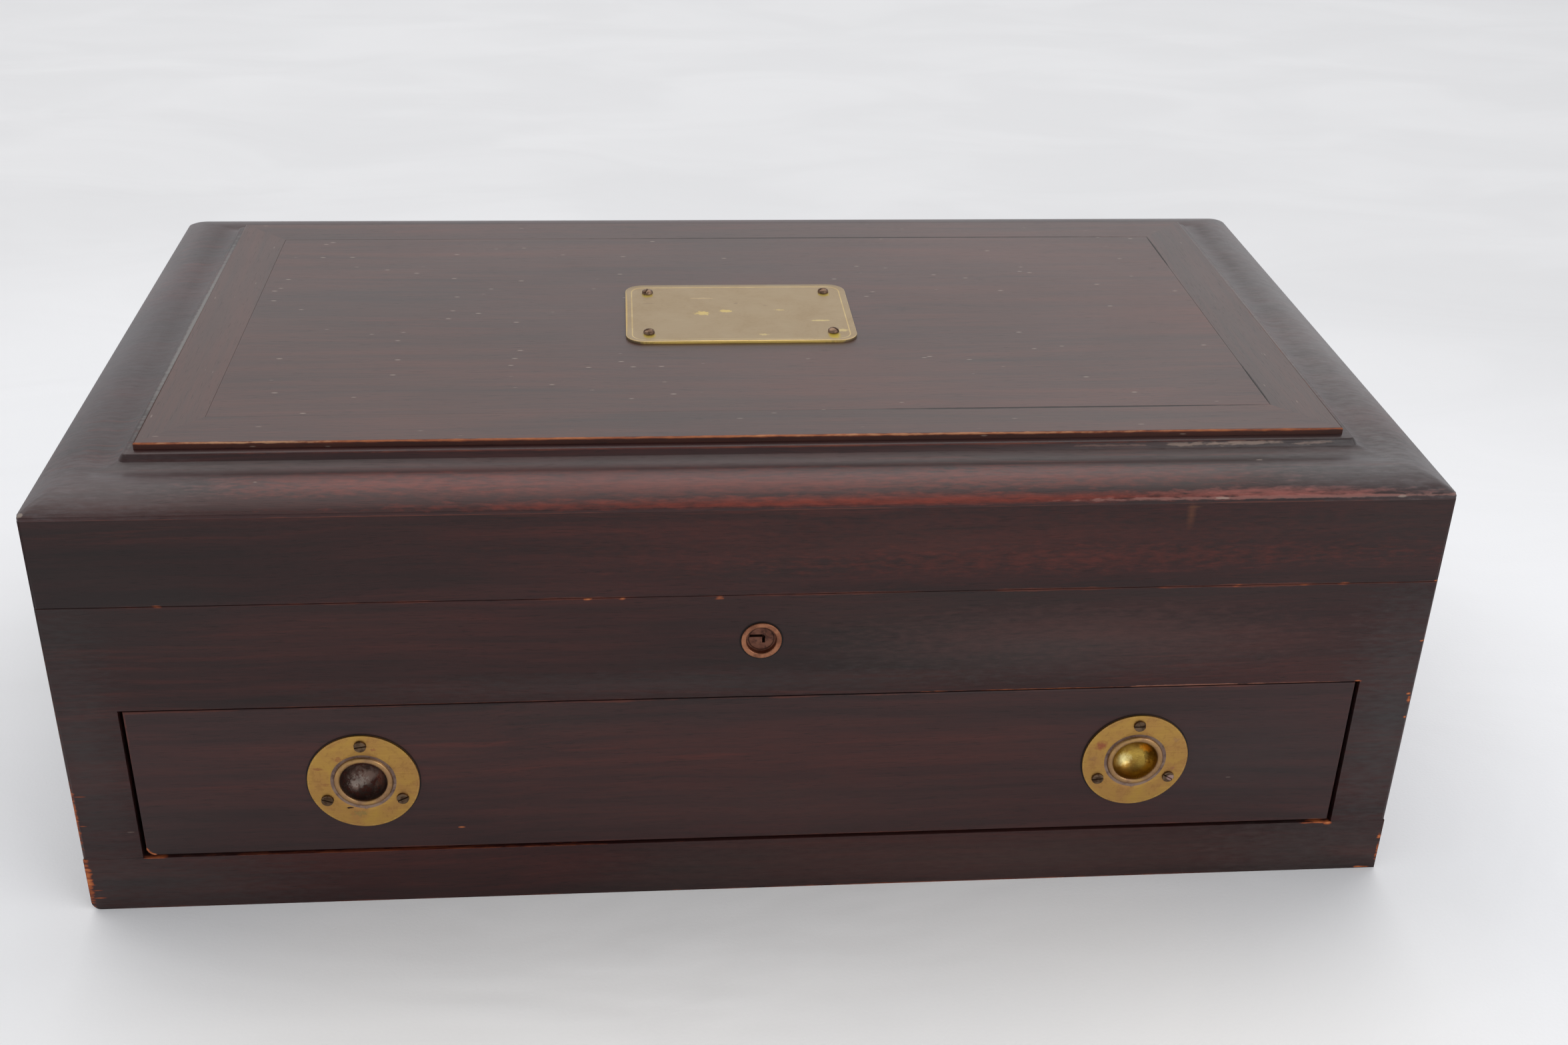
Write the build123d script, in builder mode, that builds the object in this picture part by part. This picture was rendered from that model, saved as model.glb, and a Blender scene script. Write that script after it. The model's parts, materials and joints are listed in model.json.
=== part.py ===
from build123d import *
import os
from math import cos, radians, sin, tan

os.makedirs("parts", exist_ok=True)

# A wooden silverware chest, 18 by 10 1/2 by 6 1/2 inches: a case with one drawer under a
# compartment with flatware racks, and a moulded lid on two butt hinges, held by a box lock.
# X runs across the chest, the front faces -Y, and Z is up from the surface it stands on.

# Case
chest_width = 457.2
chest_depth = 266.7
body_height = 121.5
front_thickness = 12.7
side_thickness = 12.7
back_thickness = 12.7
stile_width = 20.1
opening_bottom = 21.7
top_rail_height = 39.3
tongue_thickness = 5.0
tongue_depth = 5.0
groove_depth = 4.0
bottom_raise = 9.0
bottom_thickness = 6.35
floor_gap = 1.8
floor_thickness = 6.4
runner_width = 25.0
guide_drop = 20.5
stop_width = 30.0
stop_height = 26.0
stop_inset = 65.9
corner_block_leg = 24.0
corner_block_height = 8.0
case_tail_count = 5
tail_share = 0.55
tail_slope = 8.0

# Lid
seam_gap = 0.2
lid_wall_thickness = 12.7
lid_wall_height = 31.1
lid_board_thickness = 9.6
board_square_edge = 1.0
arris_width = 0.7
arris_rise = 1.0
arris_bulge = 0.15
thumb_inset = 16.8
thumb_rise = 5.4
thumb_bulge = 1.43
cove_inset = 25.6
cove_rise = 6.4
cove_sag = 0.68
ledge_inset = 26.6
panel_inset = 29.9
panel_thickness = 2.3
border_width = 19.05
border_round = 0.5

# Brass plate on the lid
plate_width = 85.0
plate_depth = 57.0
plate_thickness = 1.0
plate_corner = 5.0
plate_bevel_width = 2.4
plate_bevel_drop = 0.5
plate_shift_x = 1.0
plate_shift_y = 1.6
plate_screw_inset_x = 8.5
plate_screw_inset_y = 8.75
plate_screw_head = 2.7
plate_screw_dome = 1.4
plate_screw_shank = 1.0
plate_screw_length = 8.0

# Drawer
drawer_side_gap = 1.5
drawer_top_gap = 0.6
drawer_bottom_gap = 1.2
drawer_front_thickness = 12.7
drawer_wall_thickness = 8.0
drawer_wall_drop = 2.7
drawer_back_drop = 2.0
drawer_rear_room = 20.7
drawer_panel_raise = 5.0
drawer_panel_thickness = 5.0
drawer_panel_groove = 4.0
drawer_lap = 4.2
drawer_tail_count = 4
stop_clearance = 0.3
divider_thickness = 6.0
divider_height = 30.0
side_bay_width = 127.0

# Finger pulls
pull_inset = 74.6
pull_shift = 0.5
pull_drop = 0.05
flange_radius = 18.6
flange_thickness = 1.6
flange_edge_round = 0.6
flange_step_radius = 10.95
flange_step_height = 0.4
cup_rim_radius = 9.9
cup_rim_height = 1.7
cup_radius = 7.85
cup_wall = 0.9
pull_screw_circle = 14.5
pull_screw_count = 3
pull_screw_head = 2.15
pull_screw_shank = 1.0
pull_screw_length = 9.0
head_rim = 0.3
slot_width = 0.7
slot_share = 0.4

# Hinges
hinge_inset = 88.6
hinge_length = 50.0
knuckle_count = 5
knuckle_gap = 0.2
knuckle_radius = 2.6
pivot_out = 1.0
pin_radius = 1.2
pin_clearance = 0.05
pin_cap_radius = 1.7
pin_cap_length = 0.7
leaf_width = 9.5
leaf_thickness = 1.5
leaf_clearance = 0.4
barrel_clearance = 0.4
hinge_screw_spacing = 17.0
hinge_screw_count = 3
hinge_screw_head = 2.4
hinge_screw_shank = 1.1
hinge_screw_length = 9.0

# Lock
key_x = 1.4
key_drop = 17.2
ring_radius = 6.75
ring_proud = 0.7
sleeve_radius = 5.9
plug_radius = 4.9
plug_recess = 1.0
plug_clearance = 0.05
keyway_width = 1.0
keyway_depth = 3.0
keyway_left = 3.9
keyway_right = 0.8
keyway_rise = 1.1
keyway_drop = 1.6
keyway_bend = 0.6
case_width = 50.0
case_depth = 7.6
case_height = 26.4
case_wall = 1.0
cover_width = 60.0
cover_height = 18.0
cover_thickness = 1.2
cover_corner = 2.0
top_plate_length = 64.0
top_plate_width = 9.1
top_plate_thickness = 1.6
strike_length = 48.0
strike_width = 7.2
strike_thickness = 1.5
strike_corner = 2.0
loop_spread = 12.0
loop_thickness = 2.4
loop_width = 4.6
loop_leg = 0.9
loop_bar = 1.2
loop_drop = 8.1
loop_slot_room = 0.5
bolt_thickness = 2.0
bolt_bar_height = 4.2
bolt_bar_drop = 8.7
bolt_tab_half = 5.0
bolt_tab_raise = 0.3
bolt_start_gap = 0.6
finger_length = 5.5
finger_height = 2.6
finger_raise = 0.5
post_width = 3.0
cam_radius = 3.6
cam_angle = 45.0
cam_pin_radius = 1.2
cam_side_room = 0.25
cam_end_room = 0.4
bolt_side_gap = 0.3
lock_screw_head = 2.0
lock_screw_shank = 0.9
lock_screw_length = 6.0
top_screw_spread = 28.5
cover_screw_spread = 27.5
strike_screw_spread = 19.0

# Flatware racks and linings
rack_thickness = 10.0
rack_height = 26.0
rack_inset = 60.65
rack_end_gap = 0.3
trough_count = 8
trough_width = 40.0
trough_depth = 18.0
trough_corner = 8.0
lining_thickness = 1.4
lining_gap = 0.3
screw_room = 0.05

# Derived places
half_width = chest_width / 2
inner_x = half_width - side_thickness
knuckle_proud = pivot_out + knuckle_radius
front_y = -(chest_depth + knuckle_proud - cup_rim_height) / 2
back_y = front_y + chest_depth
middle_y = (front_y + back_y) / 2
front_inner_y = front_y + front_thickness
back_inner_y = back_y - back_thickness
opening_top = body_height - top_rail_height
opening_half = half_width - stile_width
bottom_top = bottom_raise + bottom_thickness
floor_raise = opening_top + floor_gap
floor_top = floor_raise + floor_thickness
tongue_near = inner_x + groove_depth
tongue_far = tongue_near + tongue_thickness
lid_bottom = body_height + seam_gap
lid_wall_top = lid_bottom + lid_wall_height
ledge_top = lid_wall_top + lid_board_thickness
panel_top = ledge_top + panel_thickness
hinge_spread = half_width - hinge_inset
pivot_y = back_y + pivot_out
pivot_z = body_height + seam_gap / 2
leaf_seat = leaf_thickness + leaf_clearance / 2
drawer_half = opening_half - drawer_side_gap
drawer_inner_x = drawer_half - drawer_wall_thickness
drawer_front_bottom = opening_bottom + drawer_bottom_gap
drawer_front_top = opening_top - drawer_top_gap
drawer_wall_top = opening_top - drawer_wall_drop
drawer_shoulder_y = front_y + drawer_front_thickness
drawer_rear_y = back_y - drawer_rear_room
drawer_back_y = drawer_rear_y - drawer_wall_thickness
drawer_panel_bottom = opening_bottom + drawer_panel_raise
drawer_panel_top = drawer_panel_bottom + drawer_panel_thickness
drawer_back_top = drawer_wall_top - drawer_back_drop
divider_spread = drawer_inner_x - side_bay_width - divider_thickness / 2
pull_spread = drawer_half - pull_inset
pull_height = (opening_bottom + opening_top) / 2 - pull_drop
stop_spread = inner_x - stop_inset
key_z = body_height - key_drop
case_front_y = front_inner_y - case_depth
case_top = body_height - top_plate_thickness
case_bottom = case_top - case_height
cover_front_y = front_inner_y - cover_thickness
bolt_y = (case_front_y + case_wall + cover_front_y) / 2
bolt_front_y = bolt_y - bolt_thickness / 2
plug_rear_y = bolt_front_y - bolt_side_gap
plug_front_y = front_y + plug_recess
bolt_bar_top = body_height - bolt_bar_drop
bolt_tab_bottom = key_z + bolt_tab_raise
cam_shift = cam_radius * sin(radians(cam_angle))
cam_rise = cam_radius * cos(radians(cam_angle))
loop_bottom = lid_bottom - loop_drop
finger_bottom = loop_bottom + loop_bar + finger_raise
finger_top = finger_bottom + finger_height
loop_window_top = finger_top + finger_raise
rack_top = floor_top + rack_height
rack_spread = (back_inner_y - front_inner_y) / 2 - rack_inset
plate_screw_x = plate_width / 2 - plate_screw_inset_x
plate_screw_y = plate_depth / 2 - plate_screw_inset_y


def write_piece(part, name):
    """Label one finished piece and write it as a STEP file of the same name."""
    part.label = name
    export_step(part, f"parts/{name}.step")


def facing_front(y):
    """Upright plane at depth y: its x is X, its y is Z, and a minus amount goes back into the chest."""
    return Plane.XZ.offset(-y)


def block(left, right, front, back, bottom, top, mode=Mode.ADD):
    """A square block between six faces, added to the piece being made or cut from it."""
    with Locations(((left + right) / 2, (front + back) / 2, (bottom + top) / 2)):
        Box(right - left, back - front, top - bottom, mode=mode)


def across(x_places, y, z, turn=0):
    """Places in a row along X, with +Z turned about X by an angle."""
    return [Location((x, y, z), (turn, 0, 0)) for x in x_places]


def tail_row(left, shoulder_y, bottom, direction, height, depth, thickness, count):
    """Dovetails on a shoulder: they reach out along Y and widen, and are as thick along X as their board."""
    pitch = height / count
    root_width = tail_share * pitch
    tip_width = root_width + 2 * depth * tan(radians(tail_slope))
    centres = [(0, pitch * (place + 0.5)) for place in range(count)]
    board_plane = Plane(origin=(left, shoulder_y, bottom), x_dir=(0, direction, 0), z_dir=(direction, 0, 0))
    with BuildPart() as row:
        with BuildSketch(board_plane):
            with Locations(*centres):
                Polygon(
                    (0, -root_width / 2),
                    (depth, -tip_width / 2),
                    (depth, tip_width / 2),
                    (0, root_width / 2),
                    align=None,
                )
        extrude(amount=direction * thickness)
    return row.part


def mitred_frame(half_x, front, back, width, bottom, height, edge_round=0):
    """Four strips of a rectangular frame, cut at 45 degrees where they meet."""
    outer = [(-half_x, front), (half_x, front), (half_x, back), (-half_x, back)]
    inner = [
        (-half_x + width, front + width),
        (half_x - width, front + width),
        (half_x - width, back - width),
        (-half_x + width, back - width),
    ]
    outward = {"front": (0, -1, 0), "right": (1, 0, 0), "back": (0, 1, 0), "left": (-1, 0, 0)}
    strips = {}
    for place, (side, direction) in enumerate(outward.items()):
        following = (place + 1) % len(outer)
        with BuildPart() as strip:
            with BuildSketch(Plane.XY.offset(bottom)):
                with BuildLine():
                    Polyline(outer[place], outer[following], inner[following], inner[place], close=True)
                make_face()
            extrude(amount=height)
            if edge_round:
                top_edges = strip.edges().group_by(Axis.Z)[-1]
                fillet(top_edges.sort_by(Axis((0, 0, 0), direction))[-1], edge_round)
        strips[side] = strip.part
    return strips


def moulded_section(span):
    """Section of the lid board between two moulded edges: square edge, thumb, cove and ledge."""
    arris = board_square_edge + arris_rise
    with BuildSketch() as section:
        with BuildLine():
            Line((0, 0), (-span / 2, 0))
            Line((-span / 2, 0), (-span / 2, board_square_edge))
            SagittaArc(
                (-span / 2, board_square_edge),
                (-span / 2 + arris_width, arris),
                arris_bulge,
            )
            SagittaArc(
                (-span / 2 + arris_width, arris),
                (-span / 2 + thumb_inset, board_square_edge + thumb_rise),
                thumb_bulge,
            )
            SagittaArc(
                (-span / 2 + thumb_inset, board_square_edge + thumb_rise),
                (-span / 2 + cove_inset, board_square_edge + cove_rise),
                -cove_sag,
            )
            Line(
                (-span / 2 + cove_inset, board_square_edge + cove_rise),
                (-span / 2 + ledge_inset, lid_board_thickness),
            )
            Line((-span / 2 + ledge_inset, lid_board_thickness), (0, lid_board_thickness))
            mirror(about=Plane.YZ)
        make_face()
    return section.sketch


def countersunk(head, shank, length, room=0, slotted=True):
    """A countersunk screw with its flat head at the origin and its shank down -Z; room makes its hole."""
    wide = head + room
    thin = shank + room
    deep = length + room
    with BuildPart() as screw:
        with BuildSketch(Plane.XZ):
            with BuildLine():
                Polyline(
                    (0, 0),
                    (wide, 0),
                    (wide, -head_rim),
                    (thin, -head_rim - head + shank),
                    (thin, -deep + thin),
                    (0, -deep),
                    close=True,
                )
            make_face()
        revolve(axis=Axis.Z)
        if slotted:
            with BuildSketch():
                Rectangle(2 * wide, slot_width)
            extrude(amount=-slot_share * head, mode=Mode.SUBTRACT)
    return screw.part


def round_head(head, dome, shank, length, room=0, slotted=True):
    """A round-head screw whose head stands on the origin's plane and whose shank runs down -Z."""
    thin = shank + room
    deep = length + room
    with BuildPart() as screw:
        with BuildSketch(Plane.XZ):
            with BuildLine():
                Polyline((0, dome), (0, -deep), (thin, -deep + thin), (thin, 0), (head, 0))
                SagittaArc((head, 0), (0, dome), -dome / 4)
            make_face()
        revolve(axis=Axis.Z)
        if slotted:
            with BuildSketch(Plane.XY.offset(dome)):
                Rectangle(2 * head, slot_width)
            extrude(amount=-slot_share * dome, mode=Mode.SUBTRACT)
    return screw.part


def place_each(part, places):
    """Separate copies of one small part, as one group."""
    with BuildPart() as group:
        with Locations(*places):
            add(part)
    return group.part


# Screws, their holes and where they go

pull_screw = countersunk(pull_screw_head, pull_screw_shank, pull_screw_length)
pull_screw_hole = countersunk(pull_screw_head, pull_screw_shank, pull_screw_length, screw_room, False)
hinge_screw = countersunk(hinge_screw_head, hinge_screw_shank, hinge_screw_length)
hinge_screw_hole = countersunk(hinge_screw_head, hinge_screw_shank, hinge_screw_length, screw_room, False)
lock_screw = countersunk(lock_screw_head, lock_screw_shank, lock_screw_length)
lock_screw_hole = countersunk(lock_screw_head, lock_screw_shank, lock_screw_length, screw_room, False)
plate_screw = round_head(plate_screw_head, plate_screw_dome, plate_screw_shank, plate_screw_length)
plate_shank_hole = Cylinder(
    plate_screw_shank + screw_room,
    2 * plate_screw_length + 2 * screw_room,
)

hinge_centres = [-hinge_spread, hinge_spread]
screw_offsets = [
    (place - (hinge_screw_count - 1) / 2) * hinge_screw_spacing for place in range(hinge_screw_count)
]
leaf_screw_x = [centre + offset for centre in hinge_centres for offset in screw_offsets]
leaf_screw_y = (back_y - leaf_width + pivot_y - knuckle_radius - leaf_clearance) / 2
lower_screw_places = across(leaf_screw_x, leaf_screw_y, body_height)
upper_screw_places = across(leaf_screw_x, leaf_screw_y, lid_bottom, 180)
top_plate_y = front_inner_y - top_plate_width / 2
top_screw_places = across([key_x - top_screw_spread, key_x + top_screw_spread], top_plate_y, body_height)
cover_screw_z = case_bottom + case_height / 2
cover_screw_places = across(
    [key_x - cover_screw_spread, key_x + cover_screw_spread], front_inner_y, cover_screw_z, -90
)
lock_screw_places = top_screw_places + cover_screw_places
strike_screw_places = across(
    [key_x - strike_screw_spread, key_x + strike_screw_spread], bolt_y, lid_bottom, 180
)
pull_centres = [pull_shift - pull_spread, pull_shift + pull_spread]
pull_screw_places = []
for pull_x in pull_centres:
    for place in range(pull_screw_count):
        around = radians(90 + place * 360 / pull_screw_count)
        screw_x = pull_x + pull_screw_circle * cos(around)
        screw_z = pull_height + pull_screw_circle * sin(around)
        pull_screw_places.append(Location((screw_x, front_y - flange_thickness, screw_z), (90, 0, 0)))
plate_x = plate_shift_x
plate_y = middle_y + plate_shift_y
plate_top = panel_top + plate_thickness
plate_screw_places = []
for side_x in (-1, 1):
    for side_y in (-1, 1):
        corner_x = plate_x + side_x * plate_screw_x
        corner_y = plate_y + side_y * plate_screw_y
        plate_screw_places.append(Location((corner_x, corner_y, plate_top)))


def cut_each(part, places):
    """Cut a small part out of the piece being made, at each place."""
    with Locations(*places):
        add(part, mode=Mode.SUBTRACT)


# Shapes that one piece has and its neighbours are cut by


def floor_panel(mode=Mode.ADD):
    block(
        -inner_x - groove_depth,
        inner_x + groove_depth,
        front_inner_y - groove_depth,
        back_inner_y + groove_depth,
        floor_raise,
        floor_top,
        mode,
    )


def bottom_panel(mode=Mode.ADD):
    block(
        -inner_x - groove_depth,
        inner_x + groove_depth,
        front_inner_y - groove_depth,
        back_inner_y + groove_depth,
        bottom_raise,
        bottom_top,
        mode,
    )


def drawer_panel(mode=Mode.ADD):
    block(
        -drawer_inner_x - drawer_panel_groove,
        drawer_inner_x + drawer_panel_groove,
        drawer_shoulder_y - drawer_panel_groove,
        drawer_rear_y,
        drawer_panel_bottom,
        drawer_panel_top,
        mode,
    )


def front_tongue(side, bottom, top, mode=Mode.ADD):
    """Tongue on a side board's front end; side is -1 on the left and 1 on the right."""
    left, right = sorted((side * tongue_near, side * tongue_far))
    block(left, right, front_inner_y - tongue_depth, front_inner_y, bottom, top, mode)


def lock_recesses():
    """Room for the lock in the front board: case, cover ears and top plate."""
    block(
        key_x - case_width / 2,
        key_x + case_width / 2,
        case_front_y,
        front_inner_y,
        case_bottom,
        body_height,
        Mode.SUBTRACT,
    )
    block(
        key_x - cover_width / 2,
        key_x + cover_width / 2,
        cover_front_y,
        front_inner_y,
        cover_screw_z - cover_height / 2,
        cover_screw_z + cover_height / 2,
        Mode.SUBTRACT,
    )
    block(
        key_x - top_plate_length / 2,
        key_x + top_plate_length / 2,
        front_inner_y - top_plate_width,
        front_inner_y,
        case_top,
        body_height,
        Mode.SUBTRACT,
    )


def hinge_seat(centre, bottom, top):
    """Recess for one leaf in an edge of the back, with a hollow that the knuckles turn in."""
    left = centre - hinge_length / 2 - pin_cap_length - knuckle_gap
    right = centre + hinge_length / 2 + pin_cap_length + knuckle_gap
    block(
        centre - hinge_length / 2,
        centre + hinge_length / 2,
        back_y - leaf_width,
        back_y,
        bottom,
        top,
        Mode.SUBTRACT,
    )
    with BuildSketch(Plane.YZ.offset(left)) as hollow:
        with Locations((pivot_y, pivot_z)):
            Circle(knuckle_radius + barrel_clearance)
    extrude(hollow.sketch, amount=right - left, mode=Mode.SUBTRACT)


# Case

case_tails = tail_row(
    -half_width, back_inner_y, 0, 1, body_height, back_thickness, side_thickness, case_tail_count
)

with BuildPart() as base_rail:
    with BuildSketch(facing_front(front_y)):
        with Locations((0, opening_bottom / 2)):
            Rectangle(chest_width, opening_bottom)
    extrude(amount=-front_thickness)
    bottom_panel(Mode.SUBTRACT)
    front_tongue(-1, 0, opening_bottom, Mode.SUBTRACT)
    front_tongue(1, 0, opening_bottom, Mode.SUBTRACT)
write_piece(base_rail.part, "base_rail")

with BuildPart() as front_board:
    with BuildSketch(facing_front(front_y)):
        with Locations((0, (opening_bottom + body_height) / 2)):
            Rectangle(chest_width, body_height - opening_bottom)
        with Locations((0, (opening_bottom + opening_top) / 2)):
            Rectangle(2 * opening_half, opening_top - opening_bottom, mode=Mode.SUBTRACT)
    extrude(amount=-front_thickness)
    floor_panel(Mode.SUBTRACT)
    front_tongue(-1, opening_bottom, body_height, Mode.SUBTRACT)
    front_tongue(1, opening_bottom, body_height, Mode.SUBTRACT)
    lock_recesses()
    with BuildSketch(facing_front(front_y)):
        with Locations((key_x, key_z)):
            Circle(sleeve_radius + plug_clearance)
    extrude(amount=-front_thickness, mode=Mode.SUBTRACT)
    cut_each(lock_screw_hole, lock_screw_places)
write_piece(front_board.part, "front_board")

with BuildPart() as back_board:
    block(-half_width, half_width, back_inner_y, back_y, 0, body_height)
    add(case_tails, mode=Mode.SUBTRACT)
    mirror(case_tails, about=Plane.YZ, mode=Mode.SUBTRACT)
    floor_panel(Mode.SUBTRACT)
    bottom_panel(Mode.SUBTRACT)
    for centre in hinge_centres:
        hinge_seat(centre, body_height - leaf_seat, body_height)
    cut_each(hinge_screw_hole, lower_screw_places)
write_piece(back_board.part, "back_board")

with BuildPart() as left_side:
    block(-half_width, -inner_x, front_inner_y, back_inner_y, 0, body_height)
    add(case_tails)
    front_tongue(-1, 0, body_height)
    floor_panel(Mode.SUBTRACT)
    bottom_panel(Mode.SUBTRACT)
write_piece(left_side.part, "left_side")

with BuildPart() as right_side:
    mirror(left_side.part, about=Plane.YZ)
write_piece(right_side.part, "right_side")

with BuildPart() as bottom_board:
    bottom_panel()
write_piece(bottom_board.part, "bottom_board")

with BuildPart() as compartment_floor:
    floor_panel()
write_piece(compartment_floor.part, "compartment_floor")

with BuildPart() as left_runner:
    block(-inner_x, -inner_x + runner_width, front_inner_y, back_inner_y, bottom_top, opening_bottom)
write_piece(left_runner.part, "left_runner")

with BuildPart() as right_runner:
    mirror(left_runner.part, about=Plane.YZ)
write_piece(right_runner.part, "right_runner")

with BuildPart() as left_guide:
    block(
        -inner_x,
        -opening_half,
        front_inner_y,
        back_inner_y,
        opening_bottom,
        opening_top - guide_drop,
    )
write_piece(left_guide.part, "left_guide")

with BuildPart() as right_guide:
    mirror(left_guide.part, about=Plane.YZ)
write_piece(right_guide.part, "right_guide")

with BuildPart() as drawer_stops:
    for stop_x in (-stop_spread, stop_spread):
        block(
            stop_x - stop_width / 2,
            stop_x + stop_width / 2,
            drawer_rear_y + stop_clearance,
            back_inner_y,
            bottom_top,
            bottom_top + stop_height,
        )
write_piece(drawer_stops.part, "drawer_stops")

with BuildPart() as corner_blocks:
    with BuildSketch(Plane.XY.offset(bottom_raise - corner_block_height)):
        for corner_x in (-inner_x, inner_x):
            for corner_y in (front_inner_y, back_inner_y):
                leg_x = -corner_block_leg if corner_x > 0 else corner_block_leg
                leg_y = -corner_block_leg if corner_y > middle_y else corner_block_leg
                with Locations((corner_x, corner_y)):
                    Polygon((0, 0), (leg_x, 0), (0, leg_y), align=None)
    extrude(amount=corner_block_height)
write_piece(corner_blocks.part, "corner_blocks")


# Compartment racks and linings


def rack(centre_y):
    """A comb with wide rounded troughs, in which stacks of forks and spoons lie."""
    length = 2 * (inner_x - rack_end_gap)
    pitch = (length - trough_width) / trough_count
    with BuildPart() as comb:
        with BuildSketch(facing_front(centre_y - rack_thickness / 2)):
            with Locations((0, floor_top + rack_height / 2)):
                Rectangle(length, rack_height)
            with Locations((0, rack_top)):
                with GridLocations(pitch, 0, trough_count, 1):
                    RectangleRounded(trough_width, 2 * trough_depth, trough_corner, mode=Mode.SUBTRACT)
        extrude(amount=-rack_thickness)
    return comb.part


write_piece(rack(middle_y - rack_spread), "front_rack")
write_piece(rack(middle_y + rack_spread), "rear_rack")

strip_edges = [
    (front_inner_y, middle_y - rack_spread - rack_thickness / 2),
    (middle_y - rack_spread + rack_thickness / 2, middle_y + rack_spread - rack_thickness / 2),
    (middle_y + rack_spread + rack_thickness / 2, back_inner_y),
]
with BuildPart() as tray_lining:
    for strip_front, strip_back in strip_edges:
        block(
            -inner_x + lining_gap,
            inner_x - lining_gap,
            strip_front + lining_gap,
            strip_back - lining_gap,
            floor_top + lining_gap,
            floor_top + lining_gap + lining_thickness,
        )
write_piece(tray_lining.part, "tray_lining")

# Lock

with BuildPart() as lock_case:
    block(
        key_x - case_width / 2,
        key_x + case_width / 2,
        case_front_y,
        cover_front_y,
        case_bottom,
        case_top,
    )
    block(
        key_x - case_width / 2 + case_wall,
        key_x + case_width / 2 - case_wall,
        case_front_y + case_wall,
        cover_front_y,
        case_bottom + case_wall,
        case_top,
        Mode.SUBTRACT,
    )
    with BuildSketch(facing_front(case_front_y)):
        with Locations((key_x, key_z)):
            Circle(plug_radius + plug_clearance)
    extrude(amount=-case_wall, mode=Mode.SUBTRACT)
write_piece(lock_case.part, "lock_case")

with BuildPart() as lock_cover:
    with BuildSketch(facing_front(cover_front_y)):
        with Locations((key_x, cover_screw_z)):
            RectangleRounded(cover_width, cover_height, cover_corner)
        with Locations((key_x, case_bottom + case_height / 2)):
            Rectangle(case_width, case_height)
    extrude(amount=-cover_thickness)
    cut_each(lock_screw_hole, cover_screw_places)
write_piece(lock_cover.part, "lock_cover")

with BuildPart() as lock_top_plate:
    with BuildSketch(Plane.XY.offset(case_top)):
        with Locations((key_x, top_plate_y)):
            Rectangle(top_plate_length, top_plate_width)
        with Locations((key_x - loop_spread, bolt_y), (key_x + loop_spread, bolt_y)):
            Rectangle(
                loop_thickness + 2 * loop_slot_room,
                loop_width + 2 * loop_slot_room,
                mode=Mode.SUBTRACT,
            )
    extrude(amount=top_plate_thickness)
    cut_each(lock_screw_hole, top_screw_places)
write_piece(lock_top_plate.part, "lock_top_plate")

write_piece(place_each(lock_screw, lock_screw_places), "lock_screws")

with BuildPart() as keyhole_ring:
    with BuildSketch(Plane((key_x, front_y, key_z))):
        with BuildLine():
            Polyline(
                (plug_radius + plug_clearance, case_front_y - front_y),
                (plug_radius + plug_clearance, -ring_proud / 2),
                (sleeve_radius, -ring_proud),
                (ring_radius - ring_proud / 2, -ring_proud),
                (ring_radius, -ring_proud / 2),
                (ring_radius, 0),
                (sleeve_radius, 0),
                (sleeve_radius, case_front_y - front_y),
                close=True,
            )
        make_face()
    revolve(axis=Axis((key_x, front_y, key_z), (0, 1, 0)))
write_piece(keyhole_ring.part, "keyhole_ring")

with BuildPart() as key_plug:
    with BuildSketch(facing_front(plug_front_y)):
        with Locations((key_x, key_z)):
            Circle(plug_radius)
    extrude(amount=plug_front_y - plug_rear_y)
    with BuildSketch(facing_front(plug_rear_y)):
        with Locations((key_x - cam_shift, key_z + cam_rise)):
            Circle(cam_pin_radius)
    extrude(amount=-bolt_side_gap - bolt_thickness)
    with BuildSketch(facing_front(plug_front_y)):
        with BuildLine():
            FilletPolyline(
                (key_x - keyway_left, key_z + keyway_rise),
                (key_x + keyway_right, key_z + keyway_rise),
                (key_x + keyway_right, key_z - keyway_drop),
                radius=keyway_bend,
            )
        trace(line_width=keyway_width)
    extrude(amount=-keyway_depth, mode=Mode.SUBTRACT)
write_piece(key_plug.part, "key_plug")

with BuildPart() as lock_bolt:
    finger_tips = [
        key_x + side * loop_spread - loop_thickness / 2 - bolt_start_gap for side in (-1, 1)
    ]
    bolt_left = finger_tips[0] - finger_length - post_width
    bolt_right = finger_tips[1] - finger_length
    with BuildSketch(facing_front(bolt_front_y)):
        with Locations(((bolt_left + bolt_right) / 2, bolt_bar_top - bolt_bar_height / 2)):
            Rectangle(bolt_right - bolt_left, bolt_bar_height)
        with Locations((key_x - cam_shift, (bolt_tab_bottom + bolt_bar_top) / 2)):
            Rectangle(2 * bolt_tab_half, bolt_bar_top - bolt_tab_bottom)
        for tip in finger_tips:
            with Locations((tip - finger_length - post_width / 2, (bolt_bar_top + finger_top) / 2)):
                Rectangle(post_width, finger_top - bolt_bar_top)
            with Locations((tip - finger_length / 2, (finger_bottom + finger_top) / 2)):
                Rectangle(finger_length, finger_height)
        slot_low = key_z + cam_rise - cam_pin_radius - cam_end_room
        slot_high = key_z + cam_radius + cam_pin_radius + cam_end_room
        with Locations((key_x - cam_shift, (slot_low + slot_high) / 2)):
            Rectangle(2 * (cam_pin_radius + cam_side_room), slot_high - slot_low, mode=Mode.SUBTRACT)
    extrude(amount=-bolt_thickness)
write_piece(lock_bolt.part, "lock_bolt")

# Hinges


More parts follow.
